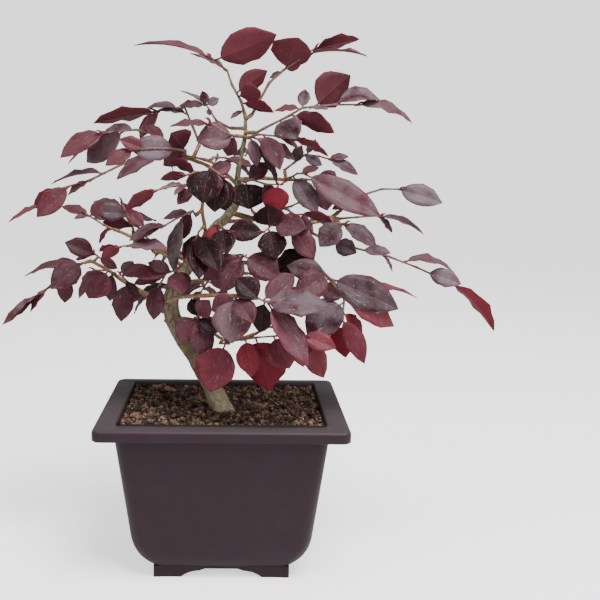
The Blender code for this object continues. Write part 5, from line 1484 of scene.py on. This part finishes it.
def add_crumb(bm, draw, x, y, size, material):
    """One crumb: a squashed and roughened ball that lies on the soil."""
    angle = draw.uniform(0, math.pi)
    turn = Matrix.Rotation(angle, 4, Vector((draw.random(), draw.random(), 1)).normalized())
    squash = Matrix.Diagonal((draw.uniform(0.8, 1.25), draw.uniform(0.7, 1.1), draw.uniform(0.55, 0.85), 1))
    place = Matrix.Translation((x, y, soil_height(x, y) - 0.7 * MM + size * draw.uniform(0.1, 0.7)))
    steps = 2 if size > 1.5 * MM else 1
    matrix = place @ turn @ squash
    verts = bmesh.ops.create_icosphere(bm, subdivisions=steps, radius=size, matrix=matrix)["verts"]
    middle = place.translation
    for vert in verts:
        lump = 1 + 0.55 * noise.noise(vert.co / (size * 0.8)) + 0.5 * noise.noise(vert.co / (size * 0.35))
        vert.co = middle + (vert.co - middle) * lump
    for face in {face for vert in verts for face in vert.link_faces}:
        face.material_index = material


draw = random.Random(SEED + 2)
crumbs = bmesh.new()
for batch in range(CRUMBS // CRUMBS_IN_BATCH):
    bm = bmesh.new()
    for index in range(CRUMBS_IN_BATCH):
        x, y = draw.uniform(-1, 1) * MOUTH_HALF_WIDTH, draw.uniform(-1, 1) * MOUTH_HALF_DEPTH
        loose = 1 - 0.12 * (x / MOUTH_HALF_WIDTH)
        size = (0.42 + 1.6 * draw.random() ** 3) * loose * MM
        x, y = within_mouth(x, y, size * 1.1 + 0.2 * MM)
        chance = draw.random()
        material = 0 if chance < 0.34 else 1
        if chance > 0.965:
            material, size = 2, 0.6 * size
        if chance > 0.988:
            material, size = 3, 0.6 * MM
        add_crumb(bm, draw, x, y, size, material)
    mesh = bpy.data.meshes.new("batch")
    bm.to_mesh(mesh)
    bm.free()
    crumbs.from_mesh(mesh)
    bpy.data.meshes.remove(mesh)
crumb_piece = finished_object("soil_crumbs", crumbs, [damp_soil, brown_crumb, bark_chip, white_grit])
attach(crumb_piece, "root")
print("crumb faces:", len(crumb_piece.data.polygons))

# %% [markdown]
# ## Trunk and branches
#
# The trunk leans, thickens at the soil and carries thin branches. Each limb is a ring pulled along its
# route. The points of the ring are pushed in and out by noise, so the bark has lumps and ridges in its
# shape and not only in its finish. The trunk also has the knobs that pruned shoots leave.

# %% A limb with bark
def limb_loops(points, radii, sides, lumps, ridges):
    """The cross sections of a limb, with lumps and long ridges of these heights."""
    loops = []
    for frame_matrix in frames_along(points, radii):
        middle = frame_matrix.translation
        loop = []
        for index in range(sides):
            turn = index * 2 * math.pi / sides
            place = frame_matrix @ Vector((math.cos(turn), math.sin(turn), 0))
            drawn = Vector((place.x / 2.4, place.y / 2.4, place.z / 10)) / MM
            push = lumps * noise.noise(place / (7 * MM)) + ridges * noise.noise(drawn)
            push += 0.4 * ridges * noise.noise(place / (1.5 * MM))
            loop.append(place + (place - middle).normalized() * push)
        loops.append(loop)
    return loops


def smooth_route(points, radii, steps):
    """A route and its radii with more points, on a smooth curve."""
    rows = smooth_rows([(*point, radius) for point, radius in zip(points, radii)], steps)
    return [Vector(row[:3]) for row in rows], [row[3] for row in rows]


def rounded_end(points, radii):
    """A route with three more points that close its end in a small dome."""
    end, heading, radius = points[-1], (points[-1] - points[-2]).normalized(), radii[-1]
    extra = [(0.45, 0.89), (0.8, 0.6), (0.97, 0.22)]
    points = points + [end + heading * radius * reach for reach, share in extra]
    return points, radii + [radius * share for reach, share in extra]


print("a branch route has", len(limbs[1][1]), "points before smoothing")

# %% The trunk with its knobs
TRUNK_SIDES = 28
BRANCH_SIDES = 10
# Knobs left by pruning: the place on the branch plan, the way they point, and their size.
KNOBS = [
    ((-33, -3, 174), (-1, -0.3, 0.1), 2.3), ((-33, -3, 167), (-1, -0.5, -0.2), 2.0),
    ((-31, -3, 159), (-1, -0.2, 0.2), 1.7), ((-25, -3, 149), (-0.6, -1, 0.1), 1.8),
    ((-20, -4.6, 141), (-1, -0.6, 0.3), 1.6), ((-12, -7.5, 126), (0.7, -0.8, 0.2), 1.7),
    ((-30, -2, 182), (-0.8, 0.3, 0.6), 1.8), ((-17, 0, 202), (-0.7, -0.7, 0.2), 1.5),
    ((-24, -3, 147), (0.6, 0.8, 0.2), 1.9), ((-9, -8.6, 120), (0.5, 0.9, 0.1), 1.6),
    ((-29, -2, 184), (0.7, 0.6, 0.2), 1.7), ((6, 3, 231), (-0.8, 0.2, 0.5), 1.3),
]
wood = bmesh.new()
name, route, radii = limbs[0]
points, widths = smooth_route(route, radii, 9)
ring_tube(wood, limb_loops(*rounded_end(points, widths), TRUNK_SIDES, 0.75 * MM, 0.5 * MM))
for place, heading, size in KNOBS:
    heading = Vector(heading).normalized()
    root = plan(place)
    depth = min(widths, key=lambda width: abs(width - 5 * MM)) + 0.3 * size * MM
    knob = [root, root + heading * depth * 0.8, root + heading * depth]
    knob_widths = [size * MM * 1.5, size * MM * 1.15, size * MM * 0.75]
    ring_tube(wood, limb_loops(*rounded_end(knob, knob_widths), 12, 0.5 * MM, 0.35 * MM))
trunk_faces = len(wood.faces)
print("trunk and knobs:", trunk_faces, "faces")

# %% Branches and spurs
branch_curves = {"trunk": points}
for name, route, radii in limbs[1:]:
    if name in BRANCHES:
        curve, widths = smooth_route(route, radii, 6)
        branch_curves[name] = curve
        ring_tube(wood, limb_loops(*rounded_end(curve, widths), BRANCH_SIDES, 0.25 * MM, 0.22 * MM))
for name, spray in sprays.items():
    branch = HIDDEN_SPRAYS[name][0] if name in HIDDEN_SPRAYS else SPRAYS[name]["branch"]
    start = nearest_on_route(branch_curves[branch], spray["route"][0], False)
    end = spray["route"][0]
    width = spray["radii"][0] + 0.25 * MM
    spur = [start, start.lerp(end, 0.35), start.lerp(end, 0.75), end + (end - start).normalized() * 0.2 * MM]
    spur_widths = [width * 1.25, width, width * 0.95, width * 1.1]
    ring_tube(wood, limb_loops(spur, spur_widths, 8, 0.1 * MM, 0.15 * MM))
for face in list(wood.faces)[trunk_faces:]:
    face.material_index = 1
bmesh.ops.recalc_face_normals(wood, faces=wood.faces[:])
trunk = finished_object("bark_trunk", wood, [old_bark, young_bark], 60)
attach(trunk, "root")
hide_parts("trunk")
print("wood faces:", len(trunk.data.polygons))

# %% [markdown]
# ## Fine leaves
#
# A real blade is oval with a pointed tip and a rounded, slightly lopsided base. It folds a little along its
# midrib, its edges ripple, and the midrib stands out below. Each blade is a grid that is extruded while it
# is still flat, so that every point knows its place on the leaf, and then bent to the leaf's frame.

# %% One fine leaf
BLADE_START = 0.1
BLADE_THICKNESS = 0.42 * MM
STALK_HALF_WIDTH = 0.5 * MM
STALK_THICKNESS = 0.9 * MM
FINE_SIDES = (-1, -0.58, -0.09, 0, 0.09, 0.58, 1)
FINE_ROWS = [0, 0.05, 0.1] + [1 - 0.45 * (1 + math.cos(math.pi * step / 11)) for step in range(1, 12)]
YOUNG_SIDES = (-1, -0.5, 0, 0.5, 1)
YOUNG_ROWS = [0, 0.1, 0.25, 0.45, 0.65, 0.85, 1]


def fine_place(leaf, share, side, wave):
    """A point of a blade's upper face. Wave holds the ripple's height and phase and the midrib's sway."""
    height, phase, sway = wave
    along = leaf.tip - leaf.base
    length = along.length
    across = along.normalized().cross(leaf.normal)
    reach = max(0, share - BLADE_START) / (1 - BLADE_START)
    outline = max(0, math.sin(math.pi * reach ** 0.88)) ** (0.64 + 0.36 * reach ** 3)
    which = math.copysign(1, side)
    outline *= 1 + 0.05 * which * (1 - reach)
    outline *= 1 + 0.035 * math.sin(2 * math.pi * (3.2 * reach + 2 * phase + 0.4 * which))
    half = max(STALK_HALF_WIDTH * (1 - reach), leaf.width / 2 * outline)
    fold = LEAF_FOLD * half * (math.sqrt(side * side + 0.02) - 0.14) * 1.8
    ripple = height * half * side * side * math.sin(2 * math.pi * (2.6 * reach + phase + 0.3 * which))
    lift = leaf.arch * length * 4 * share * (1 - share) + fold + ripple - 0.05 * half * side ** 4
    bow = sway * length * math.sin(math.pi * share)
    return leaf.base + along * share + leaf.normal * lift + across * (half * side + bow)


def add_leaf(bm, leaf, finish, draw, sides=FINE_SIDES, rows=FINE_ROWS):
    """Adds one fine leaf to a spray's mesh."""
    uv = bm.loops.layers.uv["blade"]
    tone = bm.verts.layers.float_color["leaf_tone"]
    wave = (draw.uniform(0.05, 0.13), draw.random(), draw.uniform(-0.02, 0.02))
    upper = bmesh.ops.create_grid(bm, x_segments=len(sides) - 1, y_segments=len(rows) - 1, size=1)["verts"]
    faces = list({face for vert in upper for face in vert.link_faces})
    grown = bmesh.ops.extrude_face_region(bm, geom=faces)["geom"]
    lower = [item for item in grown if isinstance(item, bmesh.types.BMVert)]
    verts = upper + lower
    for face in {face for vert in verts for face in vert.link_faces}:
        face.material_index = 0
        face.smooth = True
        for loop in face.loops:
            row = rows[round((loop.vert.co.y + 1) / 2 * (len(rows) - 1))]
            loop[uv].uv = ((loop.vert.co.x + 1) / 2, max(0, row - BLADE_START) / (1 - BLADE_START))
    for face in {item for item in grown if isinstance(item, bmesh.types.BMFace)}:
        face.material_index = 1
    # The leaf's painted sheen, its brightness with painted shade, and how much light it lets through
    sheen, bright, glow = finish
    mark = (sheen * draw.uniform(0.8, 1.1), bright * draw.uniform(0.85, 1.12),
            glow * draw.uniform(0.8, 1.15), 1)
    below = set(lower)
    tips = []
    for vert in verts:
        share = rows[round((vert.co.y + 1) / 2 * (len(rows) - 1))]
        side = sides[round((vert.co.x + 1) / 2 * (len(sides) - 1))]
        reach = max(0, share - BLADE_START) / (1 - BLADE_START)
        place = fine_place(leaf, share, side, wave)
        if vert in below:
            rib = 0.32 * MM * (1 - reach) if side == 0 else 0
            thick = BLADE_THICKNESS * (1 - 0.4 * abs(side))
            if reach == 0:
                thick += STALK_THICKNESS - BLADE_THICKNESS
            place -= leaf.normal * (thick + rib)
        elif side == 0 and 0 < reach < 1:
            place -= leaf.normal * 0.1 * MM
        vert.co = place
        vert[tone] = mark
        if share == 1:
            tips.append(vert)
    bmesh.ops.remove_doubles(bm, verts=tips, dist=0.5 * MM)
    faces = {face for vert in verts if vert.is_valid for face in vert.link_faces}
    bmesh.ops.recalc_face_normals(bm, faces=list(faces))


def add_bud(bm, place, heading, size):
    """A small pointed bud."""
    turn = UP.rotation_difference(heading).to_matrix().to_4x4()
    squash = Matrix.Diagonal((0.5 * size, 0.5 * size, size, 1))
    matrix = Matrix.Translation(place + heading * size * 0.6) @ turn @ squash
    verts = bmesh.ops.create_uvsphere(bm, u_segments=7, v_segments=5, radius=1, matrix=matrix)["verts"]
    for face in {face for vert in verts for face in vert.link_faces}:
        face.material_index = 3
        face.smooth = True


print("a blade's grid:", len(FINE_SIDES), "by", len(FINE_ROWS), "points")

# %% [markdown]
# ## Leaf finishes on the plant
#
# The old leaves are darker, and those in the dense middle are nearly black, which is partly painted shade.
# The grey or mauve of those that face the sky is painted sheen, and the young ones and those with light
# behind them are pink or crimson, partly from painted light shining through. Each leaf of a front spray gets
# one letter, which stands for its painted sheen, its brightness and how much light it lets through.

# %% The finish of each leaf
# Each letter: painted sheen, brightness (painted shade in the dark middle, 'd'), and light let through
# (partly painted as crimson)
FINISHES = {
    "d": (0.03, 0.03, 0.01), "h": (0.75, 0.4, 0.02), "b": (0.2, 0.45, 0.12), "w": (0.25, 0.8, 0.25),
    "m": (0.75, 0.8, 0.15), "g": (1.0, 0.55, 0.02), "k": (0.5, 0.2, 0.02), "p": (0.4, 1.0, 0.7),
    "r": (0.02, 0.75, 1.0), "y": (0.7, 1.0, 0.4), "v": (0.1, 0.9, 0.45),
}
LEAF_LETTERS = {
    "spray_top_left": "wmwwwwm", "spray_top_right": "wwmwg", "spray_upper_right": "bggmgwkw",
    "spray_left_crown": "mww", "spray_left_tuft": "ggmgg", "spray_left_peak": "mgww",
    "spray_left_outer": "wgwmm", "spray_left_inner": "gwbww", "spray_left_far": "mmbwwp",
    "spray_left_shade": "www", "spray_left_drooping": "mwmm", "spray_left_middle_tip": "bkwb",
    "spray_left_middle_dark": "kkwb", "spray_left_middle_inner": "mbbmk", "spray_left_middle_low": "mww",
    "spray_low_left_tip": "wbbwwm", "spray_low_left_upper": "bwb", "spray_low_left_front": "wbb",
    "spray_low_left_hanging": "bwkb", "spray_low_left_inner": "bwwbb", "spray_centre_shade": "dddb",
    "spray_centre_dark": "ddd", "spray_centre_right": "drdbb", "spray_centre_low": "rdd",
    "spray_crown_right": "mmbww", "spray_right_shoulder": "ddb", "spray_right_shade": "bw",
    "spray_centre_fan": "wbbd", "spray_grey_cluster": "gkgmg", "spray_right_centre": "gmw",
    "spray_right_mauve": "bw", "spray_right_far": "gw", "spray_right_behind": "mm",
    "spray_right_dark": "kkw", "spray_right_low_tip": "mmgpgk", "spray_low_right_big": "kkbd",
    "spray_low_right_hanging": "gprpprmb", "spray_low_right_pink": "pprp", "spray_front_grey": "hyddb",
    "spray_front_mauve": "mwb", "spray_low_wine": "vw", "spray_low_red": "rvr", "spray_low_trunk": "wbwdd",
}
print("letters:", sum(len(word) for word in LEAF_LETTERS.values()))

# %% [markdown]
# ## The sprays
#
# Each spray is one piece: its twig, its leaves, a bud in the corner of every leaf stalk, and two tiny young
# leaves at the twig's end. The twig swells a little at each of its bends.

# %% Twig and spray
TWIG_ROUND = 8


def add_twig(bm, route, radii):
    """Adds a spray's twig, which swells at each bend and starts inside its spur."""
    first = (route[1] - route[0]).normalized()
    points, widths = [route[0] - first * 0.5 * MM], [radii[0] * 1.05]
    for index in range(len(route) - 1):
        for reach, swell in ((0, 1.18), (0.14, 0.98), (0.5, 0.92), (0.86, 0.98)):
            points.append(route[index].lerp(route[index + 1], reach))
            widths.append((radii[index] + (radii[index + 1] - radii[index]) * reach) * swell)
    points.append(route[-1])
    widths.append(radii[-1])
    before = set(bm.faces)
    ring_tube(bm, limb_loops(*rounded_end(points, widths), TWIG_ROUND, 0.08 * MM, 0.1 * MM))
    for face in set(bm.faces) - before:
        face.material_index = 2
        face.smooth = True


def make_fine_spray(name, spray, draw):
    """One spray as a finished piece."""
    bm = bmesh.new()
    bm.loops.layers.uv.new("blade")
    bm.verts.layers.float_color.new("leaf_tone")
    route = spray["route"]
    add_twig(bm, route, spray["radii"])
    bmesh.ops.recalc_face_normals(bm, faces=bm.faces[:])
    for index, leaf in enumerate(spray["leaves"]):
        letter = LEAF_LETTERS[name][index] if name in LEAF_LETTERS else draw.choice("bwwmdk")
        add_leaf(bm, leaf, FINISHES[letter], draw)
        heading = ((leaf.tip - leaf.base).normalized() + leaf.normal * 0.9).normalized()
        add_bud(bm, leaf.base, heading, draw.uniform(0.55, 0.95) * MM)
    heading = (route[-1] - route[-2]).normalized()
    add_bud(bm, route[-1], heading, 1.5 * MM)
    for side in (-1, 1):
        beside = heading.cross(UP).normalized() * side
        tip = route[-1] + (heading + beside * 0.5 + UP * 0.35).normalized() * draw.uniform(3.5, 6) * MM
        normal = upper_normal(route[-1], tip, 0.5)
        young = Leaf(route[-1], tip, 1.9 * MM, normal, 0.08)
        add_leaf(bm, young, FINISHES["p"], draw, YOUNG_SIDES, YOUNG_ROWS)
    finishes = [leaf_upper, leaf_under, spray_bark, bud_scale]
    piece = finished_object(name.replace("spray_", "leaves_"), bm, finishes)
    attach(piece, "root")
    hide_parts(name)
    return piece


draw = random.Random(SEED + 3)
spray_pieces = [make_fine_spray(name, spray, draw) for name, spray in sprays.items()]
print("sprays:", len(spray_pieces), "faces:", sum(len(piece.data.polygons) for piece in spray_pieces))

# %% [markdown]
# ## The sizes of both models
#
# The finer pieces have to keep the size of the solids, so both boxes are printed at the end.

# %% Print both boxes
visual_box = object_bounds()
for label, box in (("solids", solid_box), ("pieces", visual_box)):
    print(label, [[round(value / MM, 1) for value in corner] for corner in box])
